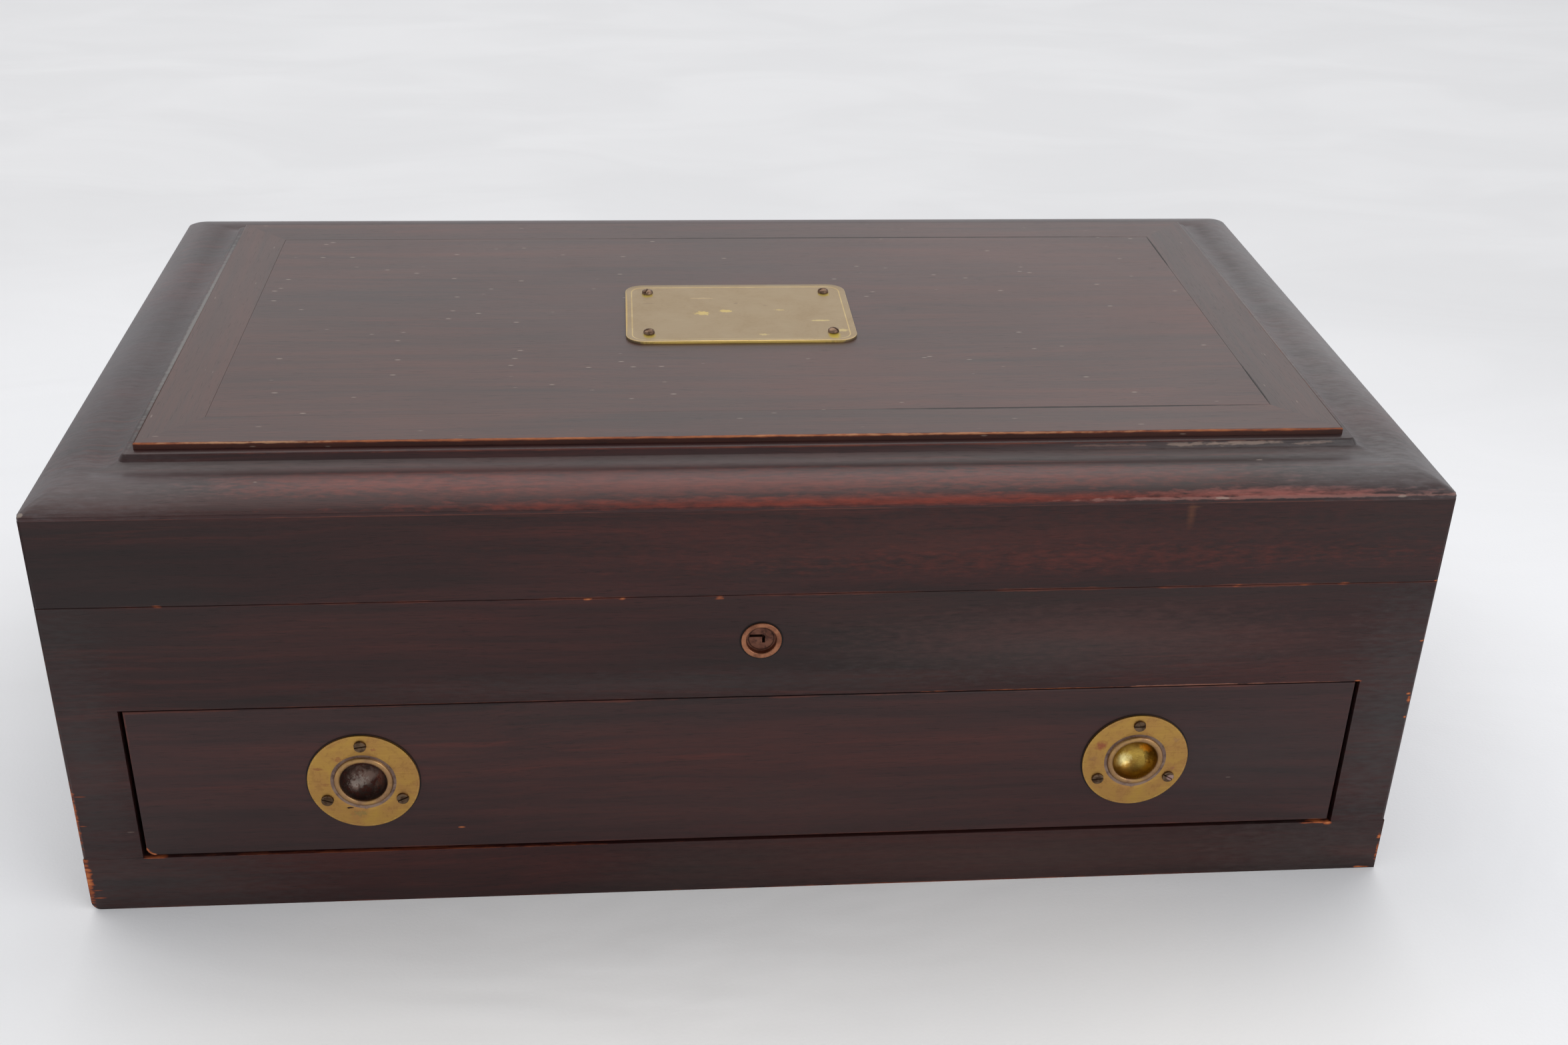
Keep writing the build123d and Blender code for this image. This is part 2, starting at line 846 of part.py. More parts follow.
def hinge_leaf(centre, side, first_knuckle, screw_hole_places):
    """One leaf with its share of the knuckles; side is -1 for the lower leaf and 1 for the upper."""
    face = body_height if side < 0 else lid_bottom
    low, high = sorted((face, face + side * leaf_thickness))
    start = centre - hinge_length / 2
    plate_back = pivot_y - knuckle_radius - leaf_clearance
    pitch = (hinge_length + knuckle_gap) / knuckle_count
    with BuildPart() as leaf:
        block(start, start + hinge_length, back_y - leaf_width, plate_back, low, high)
        for place in range(first_knuckle, knuckle_count, 2):
            with BuildSketch(Plane.YZ.offset(start + place * pitch)) as knuckle:
                with Locations((pivot_y, pivot_z)):
                    Circle(knuckle_radius)
                with Locations(((plate_back + pivot_y) / 2, (low + high) / 2)):
                    Rectangle(pivot_y - plate_back, high - low)
                with Locations((pivot_y, pivot_z)):
                    Circle(pin_radius + pin_clearance, mode=Mode.SUBTRACT)
            extrude(amount=pitch - knuckle_gap)
        cut_each(hinge_screw_hole, screw_hole_places)
    return leaf.part


write_piece(hinge_leaf(-hinge_spread, -1, 0, lower_screw_places), "left_lower_leaf")
write_piece(hinge_leaf(hinge_spread, -1, 0, lower_screw_places), "right_lower_leaf")
write_piece(hinge_leaf(-hinge_spread, 1, 1, upper_screw_places), "left_upper_leaf")
write_piece(hinge_leaf(hinge_spread, 1, 1, upper_screw_places), "right_upper_leaf")
write_piece(place_each(hinge_screw, lower_screw_places), "lower_hinge_screws")
write_piece(place_each(hinge_screw, upper_screw_places), "upper_hinge_screws")

with BuildPart() as hinge_pins:
    for centre in hinge_centres:
        with BuildSketch(Plane((centre, pivot_y, pivot_z))):
            with BuildLine():
                Polyline(
                    (-hinge_length / 2 - pin_cap_length, 0),
                    (-hinge_length / 2 - pin_cap_length, pin_radius),
                    (-hinge_length / 2 - pin_cap_length / 2, pin_cap_radius),
                    (-hinge_length / 2, pin_cap_radius),
                    (-hinge_length / 2, pin_radius),
                    (hinge_length / 2, pin_radius),
                    (hinge_length / 2, pin_cap_radius),
                    (hinge_length / 2 + pin_cap_length / 2, pin_cap_radius),
                    (hinge_length / 2 + pin_cap_length, pin_radius),
                    (hinge_length / 2 + pin_cap_length, 0),
                    close=True,
                )
            make_face()
        revolve(axis=Axis((centre, pivot_y, pivot_z), (1, 0, 0)))
write_piece(hinge_pins.part, "hinge_pins")

# Lid

lid_walls = mitred_frame(
    half_width, front_y, back_y, lid_wall_thickness, lid_bottom, lid_wall_height
)

with BuildPart() as strike_plate:
    with BuildSketch(Plane.XY.offset(lid_bottom)):
        with Locations((key_x, bolt_y)):
            RectangleRounded(strike_length, strike_width, strike_corner)
    extrude(amount=strike_thickness)
    with BuildSketch(Plane.YZ.offset(key_x - loop_spread - loop_thickness / 2)) as loop_outline:
        with Locations((bolt_y, (loop_bottom + lid_bottom) / 2)):
            Rectangle(loop_width, lid_bottom - loop_bottom)
        with Locations((bolt_y, (loop_bottom + loop_bar + loop_window_top) / 2)):
            Rectangle(
                loop_width - 2 * loop_leg,
                loop_window_top - loop_bottom - loop_bar,
                mode=Mode.SUBTRACT,
            )
    extrude(amount=loop_thickness)
    with Locations((2 * loop_spread, 0, 0)):
        add(extrude(loop_outline.sketch, amount=loop_thickness, mode=Mode.PRIVATE))
    cut_each(lock_screw_hole, strike_screw_places)
write_piece(strike_plate.part, "strike_plate")
write_piece(place_each(lock_screw, strike_screw_places), "strike_screws")

with BuildPart() as lid_front:
    add(lid_walls["front"])
    with BuildSketch(Plane.XY.offset(lid_bottom)):
        with Locations((key_x, bolt_y)):
            RectangleRounded(strike_length, strike_width, strike_corner)
    extrude(amount=strike_thickness, mode=Mode.SUBTRACT)
    cut_each(lock_screw_hole, strike_screw_places)
write_piece(lid_front.part, "lid_front")

with BuildPart() as lid_back:
    add(lid_walls["back"])
    for centre in hinge_centres:
        hinge_seat(centre, lid_bottom, lid_bottom + leaf_seat)
    cut_each(hinge_screw_hole, upper_screw_places)
write_piece(lid_back.part, "lid_back")

write_piece(lid_walls["left"], "lid_left")
write_piece(lid_walls["right"], "lid_right")

width_section = moulded_section(chest_width)
depth_section = moulded_section(chest_depth)
with BuildPart() as lid_board:
    with BuildSketch(facing_front(front_y)):
        with Locations((0, lid_wall_top)):
            add(width_section)
    extrude(amount=-chest_depth)
    with BuildSketch(Plane.YZ.offset(-half_width)):
        with Locations((middle_y, lid_wall_top)):
            add(depth_section)
    extrude(amount=chest_width, mode=Mode.INTERSECT)
    cut_each(plate_shank_hole, plate_screw_places)
write_piece(lid_board.part, "lid_board")

border_strips = mitred_frame(
    half_width - panel_inset,
    front_y + panel_inset,
    back_y - panel_inset,
    border_width,
    ledge_top,
    panel_thickness,
    border_round,
)
for border_side, border_strip in border_strips.items():
    write_piece(border_strip, f"top_border_{border_side}")

with BuildPart() as top_field:
    field_inset = panel_inset + border_width
    block(
        -half_width + field_inset,
        half_width - field_inset,
        front_y + field_inset,
        back_y - field_inset,
        ledge_top,
        panel_top,
    )
    cut_each(plate_shank_hole, plate_screw_places)
write_piece(top_field.part, "top_field")

with BuildPart() as name_plate:
    with BuildSketch(Plane.XY.offset(panel_top)):
        with Locations((plate_x, plate_y)):
            RectangleRounded(plate_width, plate_depth, plate_corner)
    extrude(amount=plate_thickness)
    rim = name_plate.faces().sort_by(Axis.Z)[-1].edges()
    chamfer(rim, plate_bevel_drop, plate_bevel_width)
    cut_each(plate_shank_hole, plate_screw_places)
write_piece(name_plate.part, "name_plate")
write_piece(place_each(plate_screw, plate_screw_places), "plate_screws")

with BuildPart() as lid_lining:
    block(
        -half_width + lid_wall_thickness + lining_gap,
        half_width - lid_wall_thickness - lining_gap,
        front_y + lid_wall_thickness + lining_gap,
        back_y - lid_wall_thickness - lining_gap,
        lid_wall_top - lining_gap - lining_thickness,
        lid_wall_top - lining_gap,
    )
write_piece(lid_lining.part, "lid_lining")

# Drawer

front_tails = tail_row(
    -drawer_half,
    drawer_shoulder_y,
    drawer_front_bottom,
    -1,
    drawer_wall_top - drawer_front_bottom,
    drawer_front_thickness - drawer_lap,
    drawer_wall_thickness,
    drawer_tail_count,
)
rear_tails = tail_row(
    -drawer_half,
    drawer_back_y,
    drawer_panel_top,
    1,
    drawer_back_top - drawer_panel_top,
    drawer_wall_thickness,
    drawer_wall_thickness,
    drawer_tail_count,
)

with BuildPart() as drawer_front:
    with BuildSketch(facing_front(front_y)):
        with Locations((0, (drawer_front_bottom + drawer_front_top) / 2)):
            Rectangle(2 * drawer_half, drawer_front_top - drawer_front_bottom)
    extrude(amount=-drawer_front_thickness)
    add(front_tails, mode=Mode.SUBTRACT)
    mirror(front_tails, about=Plane.YZ, mode=Mode.SUBTRACT)
    drawer_panel(Mode.SUBTRACT)
    with BuildSketch(facing_front(front_y)):
        with Locations(*[(pull_x, pull_height) for pull_x in pull_centres]):
            Circle(cup_radius + cup_wall + 2 * screw_room)
    extrude(amount=-cup_radius - cup_wall - screw_room, mode=Mode.SUBTRACT)
    cut_each(pull_screw_hole, pull_screw_places)
write_piece(drawer_front.part, "drawer_front")

with BuildPart() as drawer_back:
    block(-drawer_half, drawer_half, drawer_back_y, drawer_rear_y, drawer_panel_top, drawer_back_top)
    add(rear_tails, mode=Mode.SUBTRACT)
    mirror(rear_tails, about=Plane.YZ, mode=Mode.SUBTRACT)
write_piece(drawer_back.part, "drawer_back")

with BuildPart() as drawer_left:
    block(
        -drawer_half,
        -drawer_inner_x,
        drawer_shoulder_y,
        drawer_rear_y,
        opening_bottom,
        drawer_wall_top,
    )
    add(front_tails)
    add(drawer_back.part, mode=Mode.SUBTRACT)
    drawer_panel(Mode.SUBTRACT)
write_piece(drawer_left.part, "drawer_left")

with BuildPart() as drawer_right:
    mirror(drawer_left.part, about=Plane.YZ)
write_piece(drawer_right.part, "drawer_right")

with BuildPart() as drawer_bottom:
    drawer_panel()
write_piece(drawer_bottom.part, "drawer_bottom")

with BuildPart() as left_divider:
    block(
        -divider_spread - divider_thickness / 2,
        -divider_spread + divider_thickness / 2,
        drawer_shoulder_y,
        drawer_back_y,
        drawer_panel_top,
        drawer_panel_top + divider_height,
    )
write_piece(left_divider.part, "left_divider")

with BuildPart() as right_divider:
    mirror(left_divider.part, about=Plane.YZ)
write_piece(right_divider.part, "right_divider")

bay_walls = [
    (-drawer_inner_x, -divider_spread - divider_thickness / 2),
    (-divider_spread + divider_thickness / 2, divider_spread - divider_thickness / 2),
    (divider_spread + divider_thickness / 2, drawer_inner_x),
]
with BuildPart() as drawer_lining:
    for bay_left, bay_right in bay_walls:
        block(
            bay_left + lining_gap,
            bay_right - lining_gap,
            drawer_shoulder_y + lining_gap,
            drawer_back_y - lining_gap,
            drawer_panel_top + lining_gap,
            drawer_panel_top + lining_gap + lining_thickness,
        )
write_piece(drawer_lining.part, "drawer_lining")


def pull_flange(pull_x):
    """Round brass plate on the drawer's face, with a sunk ring round the cup."""
    hole_radius = cup_radius + cup_wall + screw_room
    with BuildPart() as flange:
        with BuildSketch(Plane((pull_x, front_y, pull_height))):
            with BuildLine():
                Polyline(
                    (hole_radius, 0),
                    (flange_radius, 0),
                    (flange_radius, -flange_thickness + flange_edge_round),
                    (flange_radius - flange_edge_round, -flange_thickness),
                    (flange_step_radius, -flange_thickness),
                    (flange_step_radius, -flange_step_height),
                    (hole_radius, -flange_step_height),
                    close=True,
                )
            make_face()
        revolve(axis=Axis((pull_x, front_y, pull_height), (0, 1, 0)))
        cut_each(pull_screw_hole, pull_screw_places)
    return flange.part


def pull_cup(pull_x):
    """Spun finger cup with a rolled rim that lies in the flange's sunk ring."""
    outer_radius = cup_radius + cup_wall
    rim_middle = (cup_radius + cup_rim_radius) / 2
    with BuildPart() as cup:
        with BuildSketch(Plane((pull_x, front_y, pull_height))):
            with BuildLine():
                CenterArc((0, 0), cup_radius, 0, 90)
                Line((0, cup_radius), (0, outer_radius))
                CenterArc((0, 0), outer_radius, 0, 90)
                Polyline(
                    (outer_radius, 0),
                    (outer_radius, -flange_step_height),
                    (cup_rim_radius, -flange_step_height),
                    (cup_rim_radius, -cup_rim_height / 2),
                )
                ThreePointArc(
                    (cup_rim_radius, -cup_rim_height / 2),
                    (rim_middle, -cup_rim_height),
                    (cup_radius, -cup_rim_height / 2),
                )
                Line((cup_radius, -cup_rim_height / 2), (cup_radius, 0))
            make_face()
        revolve(axis=Axis((pull_x, front_y, pull_height), (0, 1, 0)))
    return cup.part


for pull_name, pull_x in zip(("left", "right"), pull_centres):
    write_piece(pull_flange(pull_x), f"{pull_name}_pull_flange")
    write_piece(pull_cup(pull_x), f"{pull_name}_pull_cup")
write_piece(place_each(pull_screw, pull_screw_places), "pull_screws")
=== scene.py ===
import bpy
import bmesh
import json
from math import cos, pi, radians, sin
from mathutils import Matrix, Vector, noise

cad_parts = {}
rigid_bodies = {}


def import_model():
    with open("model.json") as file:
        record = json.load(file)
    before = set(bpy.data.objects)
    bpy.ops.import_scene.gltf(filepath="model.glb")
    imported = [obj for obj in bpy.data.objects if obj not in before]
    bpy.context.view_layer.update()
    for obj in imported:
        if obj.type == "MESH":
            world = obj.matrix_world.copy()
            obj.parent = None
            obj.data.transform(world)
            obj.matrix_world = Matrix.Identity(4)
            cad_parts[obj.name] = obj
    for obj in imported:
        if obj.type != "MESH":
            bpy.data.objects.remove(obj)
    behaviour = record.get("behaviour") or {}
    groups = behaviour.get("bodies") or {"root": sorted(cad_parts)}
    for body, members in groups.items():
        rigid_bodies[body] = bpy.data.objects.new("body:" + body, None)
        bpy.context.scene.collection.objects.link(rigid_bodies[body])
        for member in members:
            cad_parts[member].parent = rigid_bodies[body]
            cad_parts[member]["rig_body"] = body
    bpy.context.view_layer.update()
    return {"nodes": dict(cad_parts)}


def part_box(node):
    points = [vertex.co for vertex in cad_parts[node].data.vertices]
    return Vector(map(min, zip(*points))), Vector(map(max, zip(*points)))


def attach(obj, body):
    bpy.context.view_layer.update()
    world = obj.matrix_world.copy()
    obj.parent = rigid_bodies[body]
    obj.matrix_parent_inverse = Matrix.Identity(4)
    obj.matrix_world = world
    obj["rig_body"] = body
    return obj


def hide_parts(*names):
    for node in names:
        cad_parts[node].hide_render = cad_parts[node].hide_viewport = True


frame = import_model()
nodes = frame["nodes"]
mm = 0.001
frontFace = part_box("front_board")[0].y
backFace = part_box("back_board")[1].y
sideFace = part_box("front_board")[1].x


# Node helpers: a look is a material, a place is a vector socket in metres

def freshLook(name):
    look = bpy.data.materials.new(name)
    look.use_nodes = True
    place = put(look.node_tree, "TexCoord").outputs["Object"]
    return look, look.node_tree, look.node_tree.nodes["Principled BSDF"], place


def wire(tree, node, values):
    # a value that is a socket gets joined, any other is set
    for name, value in values.items():
        if isinstance(value, bpy.types.NodeSocket):
            tree.links.new(value, node.inputs[name])
        else:
            node.inputs[name].default_value = value


def put(tree, kind, settings=None, plugs=None):
    node = tree.nodes.new("ShaderNode" + kind)
    for name, value in (settings or {}).items():
        setattr(node, name, value)
    wire(tree, node, plugs or {})
    return node


def sums(tree, operation, first, second=0.0, clamp=False):
    plugs = {0: first} if operation == "ABSOLUTE" else {0: first, 1: second}
    return put(tree, "Math", {"operation": operation, "use_clamp": clamp}, plugs).outputs[0]


def times(tree, first, second):
    return sums(tree, "MULTIPLY", first, second)


def plus(tree, first, second):
    return sums(tree, "ADD", first, second)


def minus(tree, first, second):
    return sums(tree, "SUBTRACT", first, second)


def vectors(tree, operation, first, second=(0, 0, 0)):
    node = put(tree, "VectorMath", {"operation": operation}, {0: first, 1: second})
    return node.outputs["Value" if operation == "LENGTH" else "Vector"]


def spread(tree, value, low, high, start=0.0, end=1.0):
    node = put(tree, "MapRange", {"interpolation_type": "SMOOTHSTEP"},
               {"Value": value, "From Min": low, "From Max": high, "To Min": start, "To Max": end})
    return node.outputs[0]


def blendColours(tree, share, first, second):
    colours = [value if isinstance(value, bpy.types.NodeSocket) else (*value, 1) for value in (first, second)]
    return put(tree, "Mix", {"data_type": "RGBA"}, {0: share, 6: colours[0], 7: colours[1]}).outputs[2]


def pattern(tree, place, scale, detail, rough=0.5, twist=0.0):
    stretched = vectors(tree, "MULTIPLY", place, scale)
    return put(tree, "TexNoise", {}, {"Vector": stretched, "Scale": 1.0, "Detail": detail, "Roughness": rough,
                                      "Distortion": twist}).outputs[0]


def ramp(tree, value, stops):
    node = put(tree, "ValToRGB", {}, {0: value})
    band = node.color_ramp
    while len(band.elements) < len(stops):
        band.elements.new(0.5)
    for element, (position, colour) in zip(band.elements, stops):
        element.position = position
        element.color = (*colour, 1)
    return node.outputs[0]


def turned(tree, place, grain):
    # swaps the axes so that the grain runs along the first one
    if grain == "X":
        return place
    parts = put(tree, "SeparateXYZ", {}, {0: place}).outputs
    return put(tree, "CombineXYZ", {}, {0: parts[1], 1: parts[0], 2: parts[2]}).outputs[0]


def edgeDistance(tree, place, low, high):
    # how far a point on a box's face is from the nearest edge of that face
    away = vectors(tree, "ABSOLUTE", vectors(tree, "SUBTRACT", place, (low + high) / 2))
    room = put(tree, "SeparateXYZ", {}, {0: vectors(tree, "SUBTRACT", (high - low) / 2, away)}).outputs
    least = sums(tree, "MINIMUM", room[0], room[1])
    most = sums(tree, "MAXIMUM", room[0], room[1])
    return sums(tree, "MAXIMUM", least, sums(tree, "MINIMUM", most, room[2]))


def markDepth(tree, place, ragged, mark):
    # how far inside one mark (a worn or stained spot, or a patch of painted shade or light) a point lies: at and
    # size are in mm
    away = vectors(tree, "SUBTRACT", place, Vector(mark["at"]) * mm)
    reach = vectors(tree, "LENGTH", vectors(tree, "DIVIDE", away, Vector(mark["size"]) * mm))
    if "ring" in mark:
        # a circular line, kept to the part of it that lies within size
        radius, width = mark["ring"]
        about = Vector(mark.get("about", mark["at"])) * mm
        spoke = vectors(tree, "MULTIPLY", vectors(tree, "SUBTRACT", place, about), (1, 0, 1))
        off = sums(tree, "ABSOLUTE", minus(tree, vectors(tree, "LENGTH", spoke), radius * mm))
        reach = plus(tree, sums(tree, "DIVIDE", off, width * mm), sums(tree, "POWER", reach, 8.0))
    torn = mark.get("torn", 2.2)
    return minus(tree, 1.0 + torn / 2, plus(tree, reach, times(tree, ragged, torn)))


def markMask(tree, depth, mark):
    inside = sums(tree, "MULTIPLY", depth, mark.get("edge", 3.0), clamp=True)
    return times(tree, inside, mark.get("share", 1.0))


def markAt(kind, at, size, **more):
    # one mark: a kind of wear or a plain colour, its middle and how far it reaches, in mm
    return {"kind" if isinstance(kind, str) else "colour": kind, "at": at, "size": size, **more}


def onFront(kind, x, z, wide, tall, y=-134.3, deep=2, **more):
    return markAt(kind, (x, y, z), (wide, deep, tall), **more)


def onTop(kind, x, y, wide, long, deep=2, **more):
    return markAt(kind, (x, y, 164.7), (wide, long, deep), **more)


def onPull(colour, x, z, wide, tall, **more):
    return markAt(colour, (x, -135.9, z), (wide, 2, tall), **more)


def onPlate(colour, x, y, wide, long, z=165.7, deep=1, **more):
    return markAt(colour, (x, y, z), (wide, long, deep), **more)


# Woods: a chip ("raw") bares wood in the colours of rawWood, the other marks are plain colours: dirt and stains
# on the finish, and painted shade, sheen and highlights

# smudges and grey films here serve both as dirt and as painted shade and sheen, and the dark crack colour also
# paints contact shadow
markColours = {
    "pale": (0.34, 0.27, 0.22),
    "smudge": (0.01, 0.006, 0.005),
    "crack": (0.004, 0.003, 0.003),
    "red": (0.17, 0.026, 0.014),
    "film": (0.05, 0.053, 0.053),
    "smear": (0.125, 0.052, 0.023),
}
rawWood = [(0.0, (0.1, 0.018, 0.01)), (0.35, (0.33, 0.085, 0.026)), (0.7, (0.55, 0.19, 0.06)),
           (1.0, (0.68, 0.31, 0.13))]
rubbedEdge = {"colour": (0.13, 0.03, 0.016), "width": 1.5, "sharpness": 2600.0}

mahogany = {
    "dark": (0.0155, 0.0064, 0.0062),
    "body": (0.028, 0.0082, 0.0078),
    "red": (0.048, 0.0117, 0.0098),
    "streak": (0.11, 0.0205, 0.0135),
    "streakShare": 0.36,
    "film": (0.024, 0.0198, 0.018),
    "filmShare": 0.32,
    "roughness": 0.36,
    "smear": 0.12,
    "specular": 0.25,
    "pores": 0.5,
    "bump": 0.18,
    "rub": 0.5,
}

carcaseWood = {
    "dark": (0.13, 0.062, 0.028),
    "body": (0.24, 0.125, 0.058),
    "red": (0.33, 0.18, 0.085),
    "streak": (0.2, 0.08, 0.035),
    "streakShare": 0.4,
    "film": (0.16, 0.11, 0.07),
    "filmShare": 0.2,
    "roughness": 0.62,
    "smear": 0.1,
    "specular": 0.4,
    "pores": 0.5,
    "bump": 0.4,
    "rub": 0.0,
}

rackWood = {**carcaseWood, "dark": (0.07, 0.027, 0.015), "body": (0.12, 0.048, 0.026), "red": (0.17, 0.07, 0.036),
            "streak": (0.1, 0.035, 0.02), "film": (0.08, 0.05, 0.035), "roughness": 0.5, "rub": 0.3}


def woodLook(name, wood, grain, low, high, marks=(), dashes=0.0):
    look, tree, shader, place = freshLook(name)
    seed = sum(ord(letter) * (index + 3) for index, letter in enumerate(name)) % 97
    along = vectors(tree, "ADD", turned(tree, place, grain), (seed * 0.031, seed * 0.017, seed * 0.023))
    # the grain lines wander a little across the board
    wander = times(tree, minus(tree, pattern(tree, along, (6, 8, 8), 2.0), 0.5), 0.012)
    drift = put(tree, "CombineXYZ", {}, {1: wander, 2: wander}).outputs[0]
    lines = vectors(tree, "ADD", along, drift)
    tone = pattern(tree, along, (4.5, 24, 24), 3.0)
    figure = pattern(tree, lines, (10, 210, 210), 5.0, 0.62)
    fine = pattern(tree, lines, (38, 1250, 1250), 3.0, 0.6)
    pores = pattern(tree, lines, (150, 3600, 3600), 1.0)
    ragged = pattern(tree, turned(tree, place, grain), (170, 700, 700), 3.0, 0.65)
    # base colour from broad tone, figure and fine lines
    mixed = plus(tree, times(tree, tone, 0.4),
                 plus(tree, times(tree, figure, 0.42), times(tree, fine, 0.18)))
    colour = ramp(tree, mixed, [(0.38, wood["dark"]), (0.5, wood["body"]), (0.64, wood["red"])])
    # red streaks gather in some zones
    zone = spread(tree, pattern(tree, along, (3.2, 34, 34), 2.0), 0.48, 0.66)
    streak = spread(tree, pattern(tree, lines, (17, 420, 420), 4.0, 0.65), 0.5, 0.72)
    redness = times(tree, times(tree, zone, streak), wood["streakShare"])
    colour = blendColours(tree, redness, colour, wood["streak"])
    # old wax leaves a grey-green film in patches
    film = spread(tree, pattern(tree, along, (5, 15, 15), 3.0, 0.6, 0.4), 0.42, 0.7, 0.0, wood["filmShare"])
    colour = blendColours(tree, film, colour, wood["film"])
    poreMask = spread(tree, pores, 0.6, 0.72, 0.0, wood["pores"])
    colour = blendColours(tree, poreMask, colour, tuple(0.4 * value for value in wood["dark"]))
    if dashes:
        # short pale scratches, each in its own cell
        stretched = vectors(tree, "MULTIPLY", along, (75, 330, 330))
        cells = put(tree, "TexVoronoi", {}, {"Vector": stretched, "Scale": 1.0}).outputs
        chosen = sums(tree, "GREATER_THAN", put(tree, "SeparateColor", {}, {0: cells["Color"]}).outputs[0], 0.6)
        dash = times(tree, spread(tree, cells["Distance"], 0.11, 0.04), chosen)
        colour = blendColours(tree, times(tree, dash, dashes), colour, markColours["pale"])
    worn = times(tree, pores, 0.0)
    if wood["rub"]:
        # handled edges show redder wood
        edge = edgeDistance(tree, place, low, high)
        patches = spread(tree, pattern(tree, place, (21, 21, 21), 3.0, 0.7), 0.36, 0.68, 0.1, 1.0)
        width = times(tree, times(tree, patches, ragged), rubbedEdge["width"] * mm)
        rubbed = sums(tree, "MULTIPLY", minus(tree, width, edge), rubbedEdge["sharpness"], clamp=True)
        colour = blendColours(tree, times(tree, rubbed, wood["rub"]), colour, rubbedEdge["colour"])
    for mark in marks:
        depth = markDepth(tree, place, ragged, mark)
        mask = markMask(tree, depth, mark)
        if mark["kind"] == "raw":
            tone = plus(tree, times(tree, depth, mark.get("heat", 0.7)), times(tree, minus(tree, fine, 0.5), 0.9))
            colour = blendColours(tree, mask, colour, ramp(tree, tone, rawWood))
        else:
            # a plain colour, which is dirt, a stain, painted shade or painted light
            colour = blendColours(tree, mask, colour, mark.get("colour") or markColours[mark["kind"]])
        if mark["kind"] in ("raw", "crack"):
            worn = sums(tree, "MAXIMUM", worn, mask)
    smear = pattern(tree, place, (13, 15, 17), 4.0, 0.62, 0.6)
    gloss = plus(tree, wood["roughness"] - wood["smear"] / 2, times(tree, smear, wood["smear"]))
    gloss = plus(tree, gloss, times(tree, worn, 0.3))
    gloss = plus(tree, gloss, times(tree, poreMask, 0.15))
    height = plus(tree, times(tree, figure, 0.35), times(tree, fine, 0.3))
    height = minus(tree, height, times(tree, poreMask, 0.5))
    height = minus(tree, height, times(tree, worn, 0.5))
    bump = put(tree, "Bump", {}, {"Height": height, "Strength": wood["bump"], "Distance": 0.0003})
    wire(tree, shader, {"Specular IOR Level": wood["specular"], "Base Color": colour, "Roughness": gloss,
                        "Normal": bump.outputs[0]})
    return look


# Pieces: each one is a mesh in its own place, on a body of the frame

def added(name, data):
    thing = bpy.data.objects.new(name, data)
    bpy.context.scene.collection.objects.link(thing)
    return thing


def newPiece(name, mesh, looks, body, replaced):
    piece = added(name, mesh)
    for look in looks:
        mesh.materials.append(look)
    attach(piece, body)
    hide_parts(*replaced)
    return piece


def finished(name, bm, sharp=None):
    # turns a bmesh into a mesh, shaded smooth up to an angle in degrees
    mesh = bpy.data.meshes.new(name)
    bm.to_mesh(mesh)
    bm.free()
    if sharp:
        mesh.shade_smooth()
        mesh.set_sharp_from_angle(angle=radians(sharp))
    return mesh


def bodyOf(node):
    return nodes[node]["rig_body"]


def nodeShape(node):
    # a clean solid from the loose triangles of a node
    bm = bmesh.new()
    bm.from_mesh(nodes[node].data)
    bmesh.ops.remove_doubles(bm, verts=bm.verts, dist=2e-6)
    bmesh.ops.dissolve_limit(bm, angle_limit=radians(0.6), use_dissolve_boundaries=False,
                             verts=bm.verts, edges=bm.edges)
    return bm


def arrises(bm, least, test):
    chosen = []
    for edge in bm.edges:
        if len(edge.link_faces) == 2 and edge.calc_length() > least:
            if edge.is_convex and edge.calc_face_angle(0) > radians(50) and test(edge):
                chosen.append(edge)
    return chosen


def hullPlanes(edge):
    # how many of the chest's own outer faces the edge lies on
    limits = ((0, -sideFace), (0, sideFace), (1, frontFace), (1, backFace), (2, 0.0))
    return sum(all(abs(vert.co[axis] - value) < 2e-5 for vert in edge.verts) for axis, value in limits)


def ease(bm, edges, width, segments):
    made = bmesh.ops.bevel(bm, geom=edges, offset=width, offset_type="OFFSET", segments=segments, profile=0.5,
                           affect="EDGES", material=-1, clamp_overlap=True)
    for face in made["faces"]:
        face.smooth = True


easing = {"outer": 1.2, "least": 14.0, "leastJoint": 4.0}  # mm: least is the shortest edge that is eased
wornCorners = {"drawer_front": 3.2, "base_rail": 3.4}


def easedBoard(node, own, joint, outer, least=easing["least"], sharp=None):
    # eases a board's own arrises, those at a joint, and those on the chest's outer corners
    bm = nodeShape(node)
    if node in wornCorners:
        # one lower corner is worn round by years of use
        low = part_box(node)[0]
        corner = [edge for edge in bm.edges if all(
            abs(vert.co.x - low.x) < 1e-5 and abs(vert.co.z - low.z) < 1e-5 for vert in edge.verts)]
        ease(bm, corner, wornCorners[node] * mm, 6)
    if outer:
        ease(bm, arrises(bm, least * mm, lambda edge: hullPlanes(edge) >= 2), outer * mm, 3)
    ease(bm, arrises(bm, least * mm, lambda edge: hullPlanes(edge) == 0), own * mm, 2)
    ease(bm, arrises(bm, easing["leastJoint"] * mm, lambda edge: hullPlanes(edge) == 1), joint * mm, 1)
    return finished(node + "_eased", bm, sharp)
